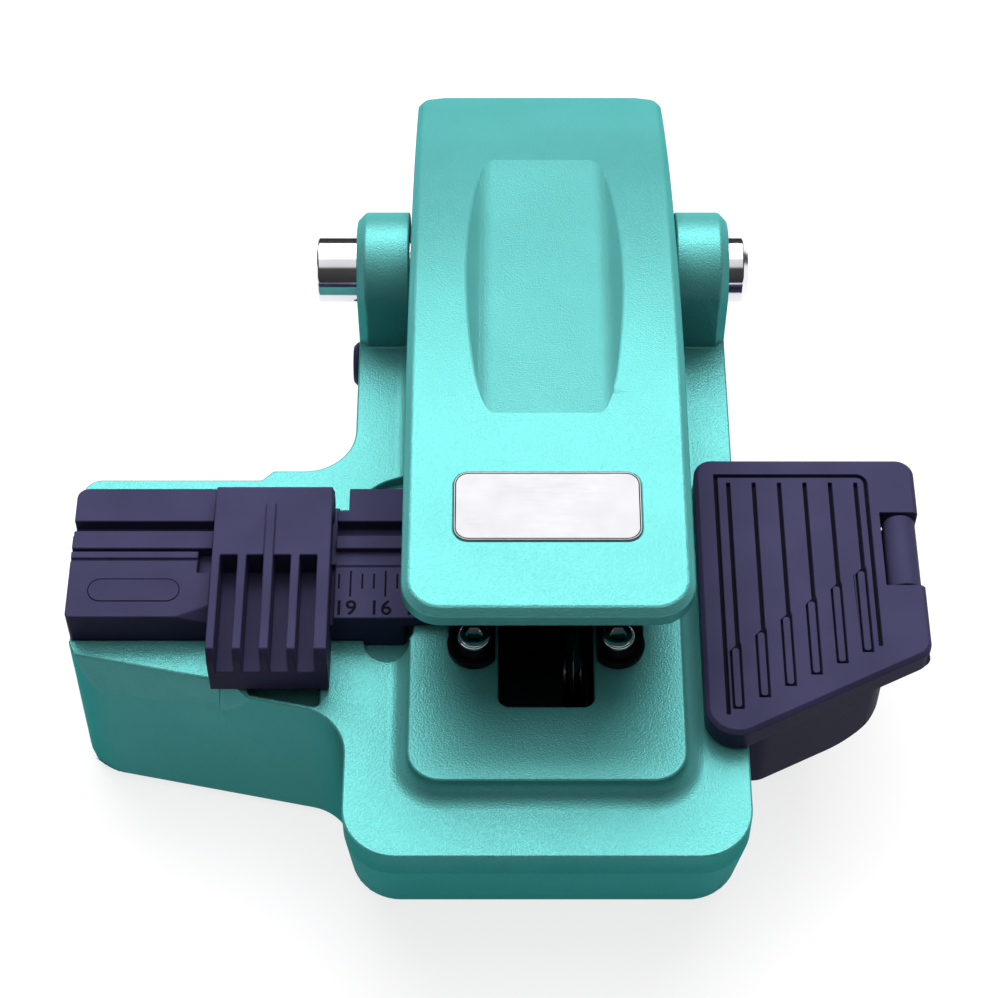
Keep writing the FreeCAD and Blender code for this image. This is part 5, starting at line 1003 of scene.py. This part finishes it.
def white_floor():
    """Matt floor that the camera, gloss and glass see as white, with the object's shadow on it."""
    lit = (0.10, 0.9)              # the lamps' light fades out between these distances
    own_light = (0.79, 1.0)        # and the floor's own light makes up for it
    material = bpy.data.materials.new("White floor")
    material.use_nodes = True
    tree = material.node_tree
    tree.nodes.clear()
    link = tree.links.new
    output = tree.nodes.new("ShaderNodeOutputMaterial")
    matt = tree.nodes.new("ShaderNodeBsdfDiffuse")
    set_inputs(matt, {"Color": (0.25, 0.25, 0.26, 1)})
    glow = tree.nodes.new("ShaderNodeEmission")
    set_inputs(glow, {"Color": (1, 1, 1, 1)})
    dark = tree.nodes.new("ShaderNodeEmission")
    set_inputs(dark, {"Strength": 0})

    place = tree.nodes.new("ShaderNodeTexCoord")
    reach = tree.nodes.new("ShaderNodeVectorMath")
    reach.operation = "LENGTH"
    link(place.outputs["Object"], reach.inputs[0])
    link(map_range(tree, reach.outputs["Value"], lit, own_light), glow.inputs["Strength"])

    path = tree.nodes.new("ShaderNodeLightPath")
    seen = path.outputs["Is Camera Ray"]
    for ray in ("Is Glossy Ray", "Is Transmission Ray"):
        either = tree.nodes.new("ShaderNodeMath")
        either.operation = "MAXIMUM"
        link(seen, either.inputs[0])
        link(path.outputs[ray], either.inputs[1])
        seen = either.outputs["Value"]

    glow_part = tree.nodes.new("ShaderNodeMixShader")
    link(seen, glow_part.inputs["Fac"])
    link(dark.outputs["Emission"], glow_part.inputs[1])
    link(glow.outputs["Emission"], glow_part.inputs[2])
    total = tree.nodes.new("ShaderNodeAddShader")
    link(matt.outputs["BSDF"], total.inputs[0])
    link(glow_part.outputs["Shader"], total.inputs[1])
    link(total.outputs["Shader"], output.inputs["Surface"])
    return material


class CLEAVER_OT_stage(bpy.types.Operator):
    """Floor, studio light and camera"""
    bl_idname = "cleaver.stage"
    bl_label = "Stage"

    floor_size = 40.0
    target = Vector((-3.9, 0, 17.2)) * MM
    ceiling_place = (0, 0.22, 0.62)
    ceiling_size = (0.80, 0.56)
    rear_place = (0, 0.39, 0.52)
    rear_size = (0.80, 0.42)
    sensor_width = 36              # millimetres
    nearest = 0.01                 # the camera sees nothing closer than this

    def execute(self, context):
        stage = context.scene.cleaver_stage
        self.lay_floor(context)
        context.scene.world = studio_world(stage.sky_strength)
        lamp("ceiling_softbox", self.ceiling_place, self.target, self.ceiling_size,
             stage.ceiling_power)
        lamp("rear_softbox", self.rear_place, self.target, self.rear_size, stage.rear_power)
        self.place_camera(context, stage)
        context.scene.view_settings.view_transform = "Standard"
        return {"FINISHED"}

    def lay_floor(self, context):
        """White floor under the cleaver."""
        shape = bmesh.new()
        bmesh.ops.create_grid(shape, x_segments=1, y_segments=1, size=self.floor_size / 2)
        mesh = mesh_from(shape, "floor")
        mesh.materials.append(white_floor())
        floor = bpy.data.objects.new("floor", mesh)
        context.scene.collection.objects.link(floor)

    def place_camera(self, context, stage):
        """Camera in front of the cleaver, looking down at its target."""
        data = bpy.data.cameras.new("camera")
        data.lens = stage.lens
        data.sensor_width = self.sensor_width
        data.clip_start = self.nearest
        camera = bpy.data.objects.new("camera", data)
        away = Vector((0, -math.cos(stage.elevation), math.sin(stage.elevation)))
        camera.location = self.target + away * stage.distance
        camera.rotation_euler = (math.pi / 2 - stage.elevation, 0, 0)
        context.scene.collection.objects.link(camera)
        context.scene.camera = camera


# ---- Add-on -------------------------------------------------------------------------------------
OPERATORS = (
    CLEAVER_OT_stage,
    CLEAVER_OT_body,
    CLEAVER_OT_lid,
    CLEAVER_OT_nameplate,
    CLEAVER_OT_hinge_shaft,
    CLEAVER_OT_adapter_plate,
    CLEAVER_OT_scale,
    CLEAVER_OT_mark_panel,
    CLEAVER_OT_clamp_lid,
    CLEAVER_OT_bin,
    CLEAVER_OT_jaws,
    CLEAVER_OT_carriage,
    CLEAVER_OT_blade,
    CLEAVER_OT_small_pieces,
)
SETTINGS = {
    "cleaver_finish": CleaverFinish,
    "cleaver_edges": CleaverEdges,
    "cleaver_scale": CleaverScale,
    "cleaver_stage": CleaverStage,
}


class VIEW3D_PT_cleaver(bpy.types.Panel):
    """Settings and pieces of the fibre cleaver"""
    bl_label = "Fibre cleaver"
    bl_space_type = "VIEW_3D"
    bl_region_type = "UI"
    bl_category = "Cleaver"

    def draw(self, context):
        for name, group in SETTINGS.items():
            box = self.layout.box()
            for key in group.__annotations__:
                box.prop(getattr(context.scene, name), key)
        for operator in OPERATORS:
            self.layout.operator(operator.bl_idname)


def register():
    for group in SETTINGS.values():
        bpy.utils.register_class(group)
    for name, group in SETTINGS.items():
        setattr(bpy.types.Scene, name, PointerProperty(type=group))
    for operator in OPERATORS:
        bpy.utils.register_class(operator)
    bpy.utils.register_class(VIEW3D_PT_cleaver)


def unregister():
    bpy.utils.unregister_class(VIEW3D_PT_cleaver)
    for operator in reversed(OPERATORS):
        bpy.utils.unregister_class(operator)
    for name in SETTINGS:
        delattr(bpy.types.Scene, name)
    for group in reversed(SETTINGS.values()):
        bpy.utils.unregister_class(group)


def main():
    register()
    for operator in OPERATORS:
        group, name = operator.bl_idname.split(".")
        getattr(getattr(bpy.ops, group), name)()


if __name__ == "__main__":
    main()
